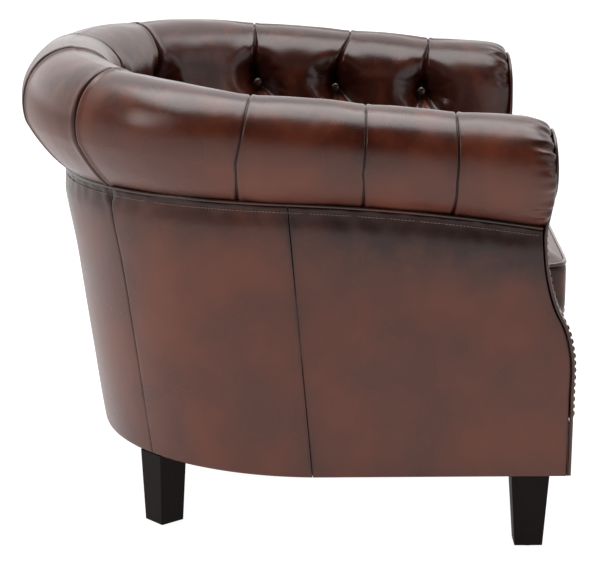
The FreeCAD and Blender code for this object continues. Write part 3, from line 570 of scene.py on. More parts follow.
def pleat_columns():
    """Places along the crest of the grid's columns, close together at pleats and at the roll's ends."""
    near = np.array([0.0, 0.6, 1.3, 2.2, 3.5, 5.5, 8.5, 12.5])
    at_end = np.arange(0, 30, 2.2)
    edges = [-END] + [p[1] for p in PLEATS] + [END]
    columns = []
    for i, (a, b) in enumerate(zip(edges[:-1], edges[1:])):
        ends_here = i == len(edges) - 2
        first = near if i > 0 else at_end
        last = at_end if ends_here else near
        count = int((b - a - first[-1] - last[-1]) / COLUMN_STEP) + 2
        middle = np.linspace(a + first[-1], b - last[-1], count)[1:-1]
        closing = (b - last)[::-1]
        columns += list(a + first) + list(middle) + list(closing if ends_here else closing[:-1])
    return np.array(columns)


def cover_rows(s):
    """Half width, back centre and height of every row of the cover, at places along the crest."""
    radius, z_roll, wide, tall = roll_at(s)
    halves, centres, heights = [], [], []
    for i in range(WALL_ROWS):
        z = SEAT_Z + (z_roll - SEAT_Z) * i / WALL_ROWS
        half, centre = level(INNER_LOW, INNER_HIGH, z)
        blend = smoothstep(0, 1, (z - (z_roll - 90)) / 90)
        halves.append(half + (radius - wide - half) * blend)
        centres.append(centre + (ROLL_CENTRE - centre) * blend)
        heights.append(z)
    for i in range(ROLL_ROWS):
        angle = math.pi + (LAST_ANGLE - math.pi) * i / (ROLL_ROWS - 1)
        halves.append(radius + wide * math.cos(angle))
        centres.append(np.full_like(s, ROLL_CENTRE))
        heights.append(z_roll + tall * math.sin(angle))
    top_half, top_z = halves[-1], heights[-1]
    _, y = plan(s, SHELL_HIGH[1], SHELL_HIGH[2], CREST_FRONT[0] + 6)
    end_z = welt_z(y) + NECK_CLEAR
    end_half, end_centre = level(SHELL_LOW, SHELL_HIGH, end_z)
    reach = 0.62 * (top_z - end_z) / (tall * math.cos(LAST_ANGLE))
    turn_half = top_half + wide * math.sin(LAST_ANGLE) * reach
    turn_z = top_z - tall * math.cos(LAST_ANGLE) * reach
    for i in range(1, NECK_ROWS + 1):
        t = i / NECK_ROWS
        halves.append((1 - t) ** 2 * top_half + 2 * t * (1 - t) * turn_half + t * t * (end_half - 0.6))
        centres.append(ROLL_CENTRE + (end_centre - ROLL_CENTRE) * t)
        heights.append((1 - t) ** 2 * top_z + 2 * t * (1 - t) * turn_z + t * t * end_z)
    return np.array(halves), np.array(centres), np.array(heights)


def pleat_shift(u, rows):
    """How far each row's columns slide along the chair so that they follow the pleats."""
    marks = np.array([p[1] for p in PLEATS])
    at_button = np.array([p[0] - p[1] for p in PLEATS])
    at_welt = np.array([p[2] - p[1] for p in PLEATS])
    knots = np.concatenate([[-END], marks, [END]])
    inner = np.interp(u, knots, np.concatenate([[0], at_button, [0]]))
    outer = np.interp(u, knots, np.concatenate([[0], at_welt, [0]]))
    at_flank = np.array([math.copysign(p[4], p[1]) for p in PLEATS])
    flank = np.interp(u, knots, np.concatenate([[0], at_flank, [0]]))
    shift = np.zeros((rows, len(u)))
    button_row = WALL_ROWS * 0.93
    for r in range(rows):
        if r <= CREST_ROW:
            shift[r] = inner * smoothstep(CREST_ROW, button_row, r)
        else:
            share = (r - CREST_ROW) / (rows - 1 - CREST_ROW)
            shift[r] = outer * share + flank * math.sin(math.pi * share) ** 0.8
    return shift


def pleat_relief(relief, dark, u, row, z, below):
    """Adds the fullness between the pleats and the pleats that run over the roll, with painted shade in the
    pleats.
    """
    rows = len(z)
    knots = np.array([-END] + [p[1] for p in PLEATS] + [END])
    cell = np.clip(np.searchsorted(knots, u, side="right") - 1, 0, len(knots) - 2)
    share = (u - knots[cell]) / (knots[cell + 1] - knots[cell])
    arch = 1 - np.abs(2 * share - 1) ** 2.6
    # most fullness on the sitter's side, least over the outside of the roll
    fullness = np.interp(np.arange(rows),
                         [0, WALL_ROWS * 0.6, WALL_ROWS, CREST_ROW - 8, CREST_ROW + 10, rows - 1],
                         [2, 6, 12, 4.0, 1.6, 1.2])
    relief += fullness[:, None] * (arch[None, :] - 0.75)
    pleat = bpy.context.scene.chair_sizes.pleat_depth / MM
    for p in PLEATS:
        du = (math.copysign(1, p[1]) * (u - p[1]))[None, :]
        above = np.where(below > 0, z - p[3], 400.0)
        on = smoothstep(-14, 4, above)
        depth = pleat * p[5] * np.interp(row, [WALL_ROWS * 0.9, WALL_ROWS + 8, CREST_ROW - 6, CREST_ROW + 14,
                                               rows - 12, rows - 1], [4.0, 2.2, 1.0, 0.75, 0.7, 1.1])
        width = np.interp(row, [WALL_ROWS * 0.9, WALL_ROWS + 8, CREST_ROW - 12, CREST_ROW + 4,
                                rows - 14, rows - 1], [8.0, 3.2, 1.3, 1.0, 1.0, 1.7]) * p[5] ** 0.5
        cut = bell(du / width, 1.0, 1.35)
        lip = (bell((du - 2.6 - width) / (2.4 + width * 0.5), 1.0) +
               0.5 * bell((du + 2.6 + width) / (2.4 + width), 1.0))
        fold = smoothstep(0, 2.5, -du) * bell(du, 24, 1.4)
        relief += on * (0.42 * depth * lip - depth * cut + 2.6 * max(p[5] - 1.3, 0) * fold)
        # painted shade in the crease of the pleat and faintly beside it
        dark += on * (1.2 * bell(du / (width * 0.95 + 0.25), 1.0) + 0.15 * bell(du / 12, 1.0))
        # short folds run up from the button beside the pleat, with painted shade in them
        rise = np.clip(above, 0, 200)
        for lean, start, reach in SHORT_FOLDS:
            line = (du - lean * rise - math.copysign(4.5, lean)) / (1.5 + 0.03 * rise)
            fade = smoothstep(start, start + 12, above) * (1 - smoothstep(reach - 14, reach, above))
            relief += below * fade * (2.0 * bell(line + 1.6, 1.1) - 2.4 * bell(line, 0.8))
            dark += below * fade * 0.35 * bell(line, 0.7)


def button_relief(relief, dark, s, z, below):
    """Adds a hollow round each button, near black with painted shade, with rays of small folds and a flap of
    leather below it.
    """
    hollow = bpy.context.scene.chair_sizes.hollow_depth / MM
    buttons = [(p[0], p[3], hollow, 23.0) for p in PLEATS]
    buttons += [(place, height, hollow * LOW_SHARE, 19.0) for place, height in low_places()]
    for place, height, depth, size in buttons:
        across = (s - place) * INNER_SHARE
        # the hollow is a pocket, longer above the button than below it
        up = np.where(z > height, (z - height) * 0.74, (height - z) * 1.1)
        r = np.hypot(across, up)
        pull = depth * (0.66 * bell(r, size, 2.6) + 0.34 * bell(r, size * 2.1, 1.7))
        relief -= below * pull
        relief += below * 2.3 * bell(r - size * 1.8, size * 0.45)
        turn = np.arctan2(z - height, across)
        rays = np.cos(turn * 9 + place * 0.07) + 0.7 * np.cos(turn * 15 + place * 0.19)
        relief += below * 1.0 * rays * bell(r - size * 1.1, size * 0.55)
        # painted shade fills the hollow, ragged along the rays of folds
        dark += below * 1.8 * bell(r - 2.2 * rays, size * 1.06, 3.0)
        # two folds open downwards from the button, with painted shade in them and a painted highlight on the
        # flap between them
        drop = np.clip(height - z, 0, 60)
        on = below * (z < height - 4) * (1 - smoothstep(34, 50, drop))
        flap = across / (2.5 + 0.34 * drop)
        relief += on * (6.5 * bell(flap, 0.75, 2.2) - 4.0 * bell(np.abs(flap) - 1.25, 0.4))
        dark += on * (0.9 * bell(np.abs(flap) - 1.2, 0.4) - 1.3 * bell(flap, 0.7, 2.0) * (drop < 30))


def diamond_relief(relief, dark, s, z, below):
    """Adds the pleats from the upper row of buttons to the lower row, and straight down from there, with
    painted shade in them.
    """
    lows = sorted(low_places())
    for place, height in sorted((p[0], p[3]) for p in PLEATS):
        for end, low in sorted(lows, key=lambda b: abs(b[0] - place))[:2]:
            t = np.clip((height - z) / (height - low), 0, 1)
            line = (s - (place + (end - place) * t)) * INNER_SHARE
            steep = abs(height - low) / math.hypot((end - place) * INNER_SHARE, height - low)
            on = below * (z < height) * (z > low)
            edge = 5.5 * (0.75 + 0.5 * np.abs(2 * t - 1))
            relief -= on * 7.0 * bell(line * steep, edge, 1.3)
            dark += on * 0.5 * bell(line * steep, edge * 0.6)
    for place, height in lows:
        on = below * (z < height)
        line = (s - place) * INNER_SHARE
        relief -= on * 6.0 * bell(line, 5.0, 1.3)
        dark += on * 0.5 * bell(line, 4.0)


def roll_relief(relief, dark, s, row, z):
    """Adds painted shade, with some patina, over the inside and along the roll, and the gathers round its
    front end with painted shade in them.
    """
    rows = len(z)
    # painted shade, with some patina, darkens the whole inside of the chair and the crest of the roll, fades
    # down its outer flank and comes back close to the welt
    band = (row - CREST_ROW) / (rows - 1 - CREST_ROW)
    dark += np.interp(band, [0.0, 0.22, 0.42, 0.62, 0.80, 1.0], [0.80, 0.66, 0.38, 0.12, 0.05, 0.24])
    to_end = END - np.abs(s)
    around = np.cumsum(np.ones_like(z), axis=0)
    gather = np.sin(around * 0.62 + 1.6 * np.sin(around * 0.23)) * 0.9 + 0.5 * np.sin(around * 1.3 + 0.6)
    on_roll = smoothstep(WALL_ROWS - 6, WALL_ROWS + 6, row) * (1 - smoothstep(rows - 10, rows - 2, row))
    relief += on_roll * gather * 2.6 * bell(to_end - 6, 17, 1.5)
    # painted shade in the gathers at the front end of the roll
    dark += on_roll * (0.45 * bell(to_end, 6) + 0.14 * bell(to_end, 34))


def cover_relief(u, s, base, z):
    """Displacement of the leather in millimetres, and how much painted shade, with some patina, darkens it
    there.
    """
    rows, columns = z.shape
    row = np.arange(rows)[:, None] * np.ones((1, columns))
    below = np.where(row < CREST_ROW, 1.0, 0.0)
    relief = np.zeros_like(z)
    dark = np.zeros_like(z)
    pleat_relief(relief, dark, u, row, z, below)
    button_relief(relief, dark, s, z, below)
    diamond_relief(relief, dark, s, z, below)
    roll_relief(relief, dark, s, row, z)
    relief += 1.1 * wander(base, 95.0, 2.0) + 0.35 * wander(base, 26.0, 5.0)
    # painted shade along the cover's lower edge under the roll, by the welt
    dark += 0.8 * bell(rows - 1 - row, 2.0)
    return relief, np.clip(dark, 0, 1.6)


def end_rounding(z):
    """How far the cover's front end is drawn in at each row, towards the facing's outline."""
    rows = z.shape[0]
    return np.interp(np.arange(rows), [0, WALL_ROWS * 0.7, WALL_ROWS + 4, rows - NECK_ROWS - 4, rows - 1],
                     [3.0, 4.0, END_DRAW, END_DRAW, 3.0])


def build_cover():
    u = pleat_columns()
    rows = COVER_ROWS
    shift = pleat_shift(u, rows)
    s = np.clip(u[None, :] + shift, -END, END)
    half = np.zeros((rows, len(u)))
    centre = np.zeros_like(half)
    z = np.zeros_like(half)
    for r in range(rows):
        h, c, zz = cover_rows(s[r])
        half[r], centre[r], z[r] = h[r], c[r], zz[r]
    y_end = smooth_curve(FRONT_CURVE, z) + END_BEHIND
    x, y = plan(s, half, centre, y_end)
    base = np.stack([x, y, z], axis=2)
    normals = grid_normals(base)
    relief, dark = cover_relief(u, s, base, z)
    to_end = END - np.abs(s)
    q = np.clip(1 - to_end / END_LENGTH, 0, 1)
    drawn = end_rounding(z)[:, None] * (1 - np.sqrt(np.maximum(1 - q * q, 0)))
    outward = np.sign(np.sum(normals[WALL_ROWS + ROLL_ROWS // 2, len(u) // 2] * [0, 0, 1]))
    normals = normals * outward
    points = base + normals * (relief - drawn)[..., None]
    # lips that turn in behind the arm fronts
    lips = []
    for depth, step in ((5.0, 0.0), (12.0, 1.0)):
        flat = normals.copy()
        flat[..., 1] = 0
        flat /= np.maximum(np.linalg.norm(flat, axis=2, keepdims=True), 1e-6)
        left = points[:, :1] - flat[:, :1] * depth + np.array([0, step, 0])
        right = points[:, -1:] - flat[:, -1:] * depth + np.array([0, step, 0])
        lips.append((left, right))
    points = np.concatenate([lips[1][0], lips[0][0], points, lips[0][1], lips[1][1]], axis=1)
    dark = np.pad(dark, ((0, 0), (2, 2)), mode="edge")
    # the hidden back of the padding closes the body
    s_all = np.pad(s, ((0, 0), (2, 2)), mode="edge")
    hidden = []
    z_top = points[-1, :, 2]
    half, centre = level(SHELL_LOW, SHELL_HIGH, z_top)
    px, py = plan(s_all[0], half - HIDDEN_INSET, centre, points[-1, :, 1].min() + HIDDEN_BEHIND)
    hidden.append(np.stack([px, py, z_top], axis=1))
    for height in (505.0, 440.0, 370.0, SEAT_Z):
        half, centre = level(INNER_LOW, INNER_HIGH, height)
        end = float(smooth_curve(FRONT_CURVE, height)) + HIDDEN_BEHIND
        px, py = plan(s_all[0], np.full(len(s_all[0]), half + PADDING_THICK), centre, end)
        hidden.append(np.stack([px, py, np.full(len(px), height)], axis=1))
    points = np.concatenate([points, np.array(hidden)], axis=0)
    dark = np.concatenate([dark, np.zeros((len(hidden), dark.shape[1]))], axis=0)
    count, columns = points.shape[:2]
    faces = grid_faces(count, columns, wrap=True)
    faces.append([r * columns for r in range(count)])
    faces.append([r * columns + columns - 1 for r in reversed(range(count))])
    obj = new_piece("tufted_cover", points, faces, "rubbed_cowhide", rub=dark)
    face_outwards(obj)
    return obj


class CHAIR_OT_cover(bpy.types.Operator):
    """Build the buttoned leather that runs over the arms, the back and the roll"""
    bl_idname = "chair.cover"
    bl_label = "Buttoned cover"

    def execute(self, context):
        obj = build_cover()
        finish(obj, CHAIR, ("inside_cover", "roll_cover", "neck_band", "inside_foam", "roll_foam"))
        return {"FINISHED"}


def inside_point(place, height, depth):
    """A point on the sitter's side of the cover, sunk by a depth, with its outward normal."""
    s = np.array([place - 1.0, place, place + 1.0])
    halves, centres, heights = cover_rows(s)
    limit = WALL_ROWS + ROLL_ROWS // 3
    column = heights[:limit, 1]
    r = int(np.argmin(np.abs(column - height)))
    r = min(max(r, 1), limit - 2)
    y_end = smooth_curve(FRONT_CURVE, heights) + 6.0
    x, y = plan(s[None, :] * np.ones_like(halves), halves, centres, y_end)
    grid = np.stack([x, y, heights], axis=2)
    along = grid[r, 2] - grid[r, 0]
    up = grid[r + 1, 1] - grid[r - 1, 1]
    normal = np.cross(along, up)
    normal /= np.linalg.norm(normal)
    if normal[2] < 0 and abs(normal[2]) > 0.7:
        normal = -normal
    inward = np.array([-grid[r, 1, 0], -(grid[r, 1, 1] - min(grid[r, 1, 1], 0)), 0])
    if np.dot(normal, inward) < 0:
        normal = -normal
    point = grid[r, 1] - normal * depth
    return point, normal


def dome_mesh(radius, rise, rings=5, sides=16):
    """Points and faces of a padded button or nail head, resting on z = 0."""
    points = [(0, 0, rise)]
    for i in range(1, rings + 1):
        a = math.pi / 2 * i / rings
        for k in range(sides):
            b = 2 * math.pi * k / sides
            points.append((radius * math.sin(a) * math.cos(b), radius * math.sin(a) * math.sin(b),
                           rise * math.cos(a)))
    under = len(points)
    for k in range(sides):
        b = 2 * math.pi * k / sides
        points.append((radius * 0.8 * math.cos(b), radius * 0.8 * math.sin(b), -rise * 0.25))
    faces = [(0, 1 + k, 1 + (k + 1) % sides) for k in range(sides)]
    for i in range(rings):
        a = 1 + i * sides
        b = 1 + (i + 1) * sides
        faces += [(a + k, b + k, b + (k + 1) % sides, a + (k + 1) % sides) for k in range(sides)]
    faces.append([under + k for k in reversed(range(sides))])
    return points, faces


class CHAIR_OT_buttons(bpy.types.Operator):
    """Set the leather-covered buttons in their hollows"""
    bl_idname = "chair.buttons"
    bl_label = "Buttons"

    def execute(self, context):
        sizes = context.scene.chair_sizes
        radius = sizes.button_radius / MM
        hollow = sizes.hollow_depth / MM
        rows = (("upper_row_buttons", [(p[0], p[3], 1.0) for p in PLEATS], "upper_buttons"),
                ("lower_row_buttons", [(*place, LOW_SHARE) for place in low_places()], "lower_buttons"))
        for name, places, node in rows:
            points, faces = [], []
            for place, height, share in places:
                base, normal = inside_point(place, height, hollow * share - 2.5)
                turn = Vector((0, 0, 1)).rotation_difference(Vector(normal)).to_matrix()
                local, patch = dome_mesh(radius, radius * 0.62)
                start = len(points)
                points += [tuple(Vector(base) + turn @ Vector(p)) for p in local]
                faces += [[start + i for i in face] for face in patch]
            obj = new_piece(name, points, faces, "button_cowhide")
            face_outwards(obj)
            finish(obj, CHAIR, (node,))
        return {"FINISHED"}


# ------------------------------------------------------------------ outside panels
MID_SEAM = (459.0, 467.0)       # place along the chair at the bottom and the top
REAR_SEAM = (214.0, 211.0)
SEAM_GAP = 0.5
WELT_CLEAR = 2.4                # from the middle of the welt to the panels' upper edge
PANEL_ROWS = 88
PANEL_STEP = 5.0                # spacing of the columns along a panel
PANEL_TALL = SHELL_HIGH[0] - SHELL_LOW[0]
PANEL_THICK = 0.0022
PANEL_IN = -1.7                 # the panels stay clear of the lining behind them


def panel_grid(low_edge, high_edge):
    """One outside panel between two seams: its points, normals, relief, darkening, places along the chair and
    heights.
    """
    t = np.linspace(0, 1, PANEL_ROWS)
    t = np.concatenate([[0, 0.004, 0.009, 0.016], t[3:-3], [1 - 0.016, 1 - 0.009, 1 - 0.004, 1]])
    rows = len(t)
    length = abs(high_edge[0] - low_edge[0])
    count = int(length / PANEL_STEP)
    near = np.array([0, 0.6, 1.4, 2.6, 4.5])
    w = np.concatenate([near / length, np.linspace(7 / length, 1 - 7 / length, count),
                        1 - near[::-1] / length])
    tt, ww = np.meshgrid(t, w, indexing="ij")
    low = low_edge[0] + (low_edge[1] - low_edge[0]) * tt
    high = high_edge[0] + (high_edge[1] - high_edge[0]) * tt
    s = low + (high - low) * ww
    foot = SHELL_LOW[0]
    z = foot + PANEL_TALL * tt
    for _ in range(3):
        half, centre = level(SHELL_LOW, SHELL_HIGH, z)
        y_end = smooth_curve(FRONT_CURVE, z) + 7.0
        x, y = plan(s, half, centre, y_end)
        z = foot + (welt_z(y) - WELT_CLEAR - foot) * tt
    base = np.stack([x, y, z], axis=2)
    normals = grid_normals(base)
    side = np.sign(normals[rows // 2, w.size // 2] @ base[rows // 2, w.size // 2])
    normals = normals * side
    edge_w = np.minimum(ww, 1 - ww) * length
    edge_t = (1 - tt) * PANEL_TALL
    edge_b = tt * PANEL_TALL
    relief = -0.4 + 1.6 * (1 - np.abs(2 * ww - 1) ** 3.0) * (1 - np.abs(2 * tt - 1) ** 4)
    for edge, radius, drop in ((edge_w, 2.6, 1.3), (edge_t, 3.0, 1.2), (edge_b, 4.0, 1.6)):
        q = np.clip(1 - edge / radius, 0, 1)
        relief -= drop * (1 - np.sqrt(np.maximum(1 - q * q, 0)))
    relief += 4.6 * smoothstep(0, 36, edge_t) * bell(edge_t - 36, 60) - 0.4
    # small crinkles hang from the welt and from the seams
    stretched = base * np.array([1.0, 1.0, 0.35])
    crinkle = wander(stretched, 16.0, 9.0)
    # towards the front the leather is pulled tight under the welt and ripples
    ripple = np.sin(s * 0.21 + 2.2 * crinkle) * np.sin(s * 0.067 + 0.7)
    relief += 0.8 * ripple * bell(edge_t - 16, 16) * smoothstep(330, 620, np.abs(s))
    relief += 1.3 * crinkle * bell(edge_t - 8, 22, 1.3) + 0.45 * crinkle * bell(edge_w, 16, 1.3)
    relief += 0.9 * wander(base, 120.0, 4.0)
    # painted shade under the roll darkens the top of each panel, most near the front; the seams are darker
    # along their lines and beside them, and the panel darkens towards its foot
    dark = (0.60 * bell(edge_t, 62, 1.5) + 0.16 * bell(edge_w, 26, 1.4) + 0.25 * bell(edge_w, 3) +
            0.16 * bell(edge_b, 40, 1.5) + 0.4 * bell(edge_t, 5) +
            0.50 * bell(edge_t - 20, 75, 1.5) * smoothstep(470, 660, np.abs(s)))
    return base, normals, relief, dark, s, z


class CHAIR_OT_panels(bpy.types.Operator):
    """Cover the outside of the shell with its five seamed panels"""
    bl_idname = "chair.panels"
    bl_label = "Outside panels"

    def execute(self, context):
        gap = SEAM_GAP / 2
        jobs = [("back_panel", [gap - v for v in REAR_SEAM], [v - gap for v in REAR_SEAM],
                 "outside_back_panel")]
        for side, word in ((1, "left"), (-1, "right")):
            a = [side * (v + gap) for v in REAR_SEAM]
            b = [side * (v - gap) for v in MID_SEAM]
            jobs.append(("rear_side_panel_" + word, a, b, "outside_rear_panel_" + word))
            a = [side * (v + gap) for v in MID_SEAM]
            jobs.append(("front_side_panel_" + word, a, [side * END, side * END],
                         "outside_front_panel_" + word))
        for name, low, high, node in jobs:
            base, normals, relief, dark, s, z = panel_grid(low, high)
            # a pucker where each rear seam meets the welt, with painted shade in it
            r = np.hypot(np.abs(s) - REAR_SEAM[1], (z - welt_z(base[..., 1]) + 9) * 0.8)
            relief = relief - 2.6 * bell(r, 7.5, 1.6) + 1.6 * bell(r - 12, 6)
            dark = dark + 0.8 * bell(r, 9)
            relief = np.maximum(relief, PANEL_IN)
            points = base + normals * relief[..., None]
            obj = new_piece(name, points, grid_faces(*points.shape[:2]), "rubbed_cowhide",
                            rub=np.clip(dark, 0, 1.2))
            turn_out(obj)
            obj = thicken(obj, PANEL_THICK)
            finish(obj, CHAIR, (node,))
        return {"FINISHED"}


def turn_out(obj, away_from=(0.0, -0.05, 0.3)):
    """Turns a sheet's faces away from a point inside the chair."""
    centre = Vector(away_from)
    votes = sum(1 if face.normal.dot(face.center - centre) > 0 else -1 for face in obj.data.polygons)
    if votes < 0:
        obj.data.flip_normals()


# ------------------------------------------------------------------ piping and stitches
def shell_path(drop, outset, start=-END, stop=END, step=6.0, y_out=8.0):
    """Path round the shell at a distance below the welt."""
    s = np.linspace(start, stop, int((stop - start) / step))
    z = np.full_like(s, 500.0)
    for _ in range(4):
        half, centre = level(SHELL_LOW, SHELL_HIGH, z)
        y_end = smooth_curve(FRONT_CURVE, z) + y_out
        x, y = plan(s, half + outset, centre, y_end)
        z = welt_z(y) - drop
    return np.stack([x, y, z], axis=1)


NECK_Z = 490.0                  # the arm front starts to widen into its scroll here
EDGE_DRAW = 4.0                 # the arm front's inner edge lies this far inside the padding
SCROLL_Z = 556.0                # height of the scroll's centre at the arm's front
SCROLL_TOP = SCROLL_Z + ROLL_TALL - END_DRAW


def facing_outline(z, side_offset=0.0):
    """Inner and outer X of the arm front at heights."""
    z = np.asarray(z, float)
    radius, z_roll, wide, tall = [float(v[0]) for v in roll_at(np.array([END]))]
    inner, _ = level(INNER_LOW, INNER_HIGH, z)
    flare = smoothstep(NECK_Z, SCROLL_Z, z)
    drawn = EDGE_DRAW + (END_DRAW - EDGE_DRAW) * flare
    inner = inner + (INNER_HIGH[1] - inner) * flare + drawn - side_offset
    outer, _ = level(SHELL_LOW, SHELL_HIGH, z)
    outer = outer - 0.8 + side_offset
    a, b = wide - END_DRAW + side_offset, tall - END_DRAW + side_offset
    share = np.clip((z - z_roll) / b, -1, 1)
    reach = a * np.sqrt(np.maximum(1 - share ** 2, 0))
    outer = np.where(z > z_roll - 0.92 * b, np.maximum(radius + reach, np.where(z < z_roll, outer, 0)), outer)
    inner = np.where(z > z_roll, radius - reach, inner)
    return inner, outer


def front_path(z_low, side, offset, forward=0.0):
    """Path up the outer edge of an arm front, round the scroll and down its inner edge."""
    z_top = SCROLL_TOP + offset
    t = np.linspace(0, 1, 60)
    rise = np.concatenate([np.linspace(z_low, 500, 60), 500 + (z_top - 500) * np.sin(t[1:] * math.pi / 2)])
    inner, outer = facing_outline(rise, offset)
    up = np.stack([outer, smooth_curve(FRONT_CURVE, rise) + forward, rise], axis=1)
    down = np.stack([inner, smooth_curve(FRONT_CURVE, rise) + forward, rise], axis=1)[::-1]
    down = down[down[:, 2] > 318]
    path = np.concatenate([up, down[1:]])
    path[:, 0] *= side
    return path


class CHAIR_OT_piping(bpy.types.Operator):
    """Run the piping under the roll and round the arm fronts"""
    bl_idname = "chair.piping"
    bl_label = "Piping"

    def execute(self, context):
        sizes = context.scene.chair_sizes
        welt = tube("roll_piping", [shell_path(0.0, -0.6)], sizes.welt_radius, "piping_cowhide")
        finish(welt, CHAIR, ("roll_welt",))
        paths = [front_path(112.0, side, 1.0, 3.0) for side in (1, -1)]
        edge = tube("front_piping", paths, sizes.edge_radius, "piping_cowhide")
        finish(edge, CHAIR, ("facing_welts",))
        return {"FINISHED"}


def instance_tree(name, material):
    """Geometry Nodes that set copies of a small shape along a curve at an even spacing."""
    tree = bpy.data.node_groups.new(name, "GeometryNodeTree")
    tree.interface.new_socket("Geometry", in_out="INPUT", socket_type="NodeSocketGeometry")
    pitch = tree.interface.new_socket("Pitch", in_out="INPUT", socket_type="NodeSocketFloat")
    size = tree.interface.new_socket("Size", in_out="INPUT", socket_type="NodeSocketFloat")
    shape = tree.interface.new_socket("Shape", in_out="INPUT", socket_type="NodeSocketObject")
    jitter = tree.interface.new_socket("Jitter", in_out="INPUT", socket_type="NodeSocketFloat")
    tree.interface.new_socket("Geometry", in_out="OUTPUT", socket_type="NodeSocketGeometry")
    start = tree.nodes.new("NodeGroupInput")
    curve = add(tree, "GeometryNodeMeshToCurve", links={"Mesh": start.outputs["Geometry"]})
    spread = add(tree, "GeometryNodeResampleCurve", {"mode": "LENGTH"},
                 {"Curve": curve.outputs["Curve"], "Length": start.outputs["Pitch"]})
    facing = add(tree, "GeometryNodeInputNamedAttribute", {"data_type": "FLOAT_VECTOR", "Name": "facing"})
    along = add(tree, "GeometryNodeInputTangent")
    aim = add(tree, "FunctionNodeAlignRotationToVector", {"axis": "Z"},
              {"Vector": facing.outputs["Attribute"]})
    turn = add(tree, "FunctionNodeAlignRotationToVector", {"axis": "X", "pivot_axis": "Z"},
               {"Rotation": aim.outputs["Rotation"], "Vector": along.outputs["Tangent"]})
    source = add(tree, "GeometryNodeObjectInfo", {"transform_space": "ORIGINAL"},
                 {"Object": start.outputs["Shape"]})
    low = add(tree, "ShaderNodeMath", {"operation": "SUBTRACT", 0: 1.0}, {1: start.outputs["Jitter"]})
    high = add(tree, "ShaderNodeMath", {"operation": "ADD", 0: 1.0}, {1: start.outputs["Jitter"]})
    uneven = add(tree, "FunctionNodeRandomValue", {"data_type": "FLOAT", "Seed": 7})
    tree.links.new(low.outputs[0], uneven.inputs[2])
    tree.links.new(high.outputs[0], uneven.inputs[3])
    scale = add(tree, "ShaderNodeMath", {"operation": "MULTIPLY"},
                {0: start.outputs["Size"], 1: uneven.outputs[1]})
    copies = add(tree, "GeometryNodeInstanceOnPoints", links={
        "Points": spread.outputs["Curve"], "Instance": source.outputs["Geometry"],
        "Rotation": turn.outputs["Rotation"], "Scale": scale.outputs[0]})
    real = add(tree, "GeometryNodeRealizeInstances", links={"Geometry": copies.outputs["Instances"]})
    painted = add(tree, "GeometryNodeSetMaterial", {"Material": bpy.data.materials[material]},
                  {"Geometry": real.outputs["Geometry"]})
    end = tree.nodes.new("NodeGroupOutput")
    tree.links.new(painted.outputs["Geometry"], end.inputs["Geometry"])
    return tree, {"Pitch": pitch.identifier, "Size": size.identifier, "Shape": shape.identifier,
                  "Jitter": jitter.identifier}


def along_paths(name, paths, directions, shape, material, pitch, size, jitter):
    """Copies a small shape along paths in millimetres and returns one plain mesh object."""
    points, edges, facing = [], [], []
    for path, direction in zip(paths, directions):
        start = len(points)
        points += [tuple(p * MM) for p in path]
        facing += [tuple(d) for d in direction]
        edges += [(start + i, start + i + 1) for i in range(len(path) - 1)]
    mesh = bpy.data.meshes.new(name)
    mesh.from_pydata(points, edges, [])
    layer = mesh.attributes.new("facing", "FLOAT_VECTOR", "POINT")
    layer.data.foreach_set("vector", np.array(facing, np.float32).ravel())
    obj = bpy.data.objects.new(name, mesh)
    bpy.context.scene.collection.objects.link(obj)
    tree, sockets = instance_tree(name + "_rule", material)
    modifier = obj.modifiers.new("Rule", "NODES")
    modifier.node_group = tree
    modifier[sockets["Pitch"]] = pitch
    modifier[sockets["Size"]] = size
    modifier[sockets["Shape"]] = shape
    modifier[sockets["Jitter"]] = jitter
    obj = make_plain(obj)
    obj.data.polygons.foreach_set("use_smooth", [True] * len(obj.data.polygons))
    return obj


def pattern_shape(name, points, faces):
    """A small source shape of unit size for copying; it is removed once its copies are made."""
    mesh = bpy.data.meshes.new(name)
    mesh.from_pydata([tuple(p) for p in points], [], [list(f) for f in faces])
    mesh.validate()
    obj = bpy.data.objects.new(name, mesh)
    bpy.context.scene.collection.objects.link(obj)
    face_outwards(obj)
    return obj


def stitch_shape():
    """A plump thread end 1 unit long, lying along X."""
    rings = ((-0.5, 0.06), (-0.42, 0.13), (-0.2, 0.18), (0.0, 0.19), (0.2, 0.18), (0.42, 0.13), (0.5, 0.06))
    sides = 6
    points = [(x, r * math.cos(2 * math.pi * k / sides), 0.7 * r * math.sin(2 * math.pi * k / sides) + 0.02)
              for x, r in rings for k in range(sides)]
    faces = []
    for i in range(len(rings) - 1):
        a, b = i * sides, (i + 1) * sides
        faces += [(a + k, a + (k + 1) % sides, b + (k + 1) % sides, b + k) for k in range(sides)]
    faces += [list(range(sides)), list(range((len(rings) - 1) * sides, len(rings) * sides))]
    return pattern_shape("stitch_source", points, faces)


def nail_height(z, side, inset, inner=False):
    """Points of a nail row up an arm front and the leather's outward direction there."""
    face_in, face_out = facing_outline(z)
    x = face_in + inset if inner else face_out - inset
    y = smooth_curve(FRONT_CURVE, z)
    slope = (smooth_curve(FRONT_CURVE, z + 1) - smooth_curve(FRONT_CURVE, z - 1)) / 2
    normal = np.stack([np.zeros_like(z), -np.ones_like(z), slope], axis=1)
    normal /= np.linalg.norm(normal, axis=1, keepdims=True)
    sunk = 0.2 - 1.0 * smoothstep(315.0, 350.0, z)
    points = np.stack([side * x, y, z], axis=1) + normal * sunk[:, None]
    return points, normal


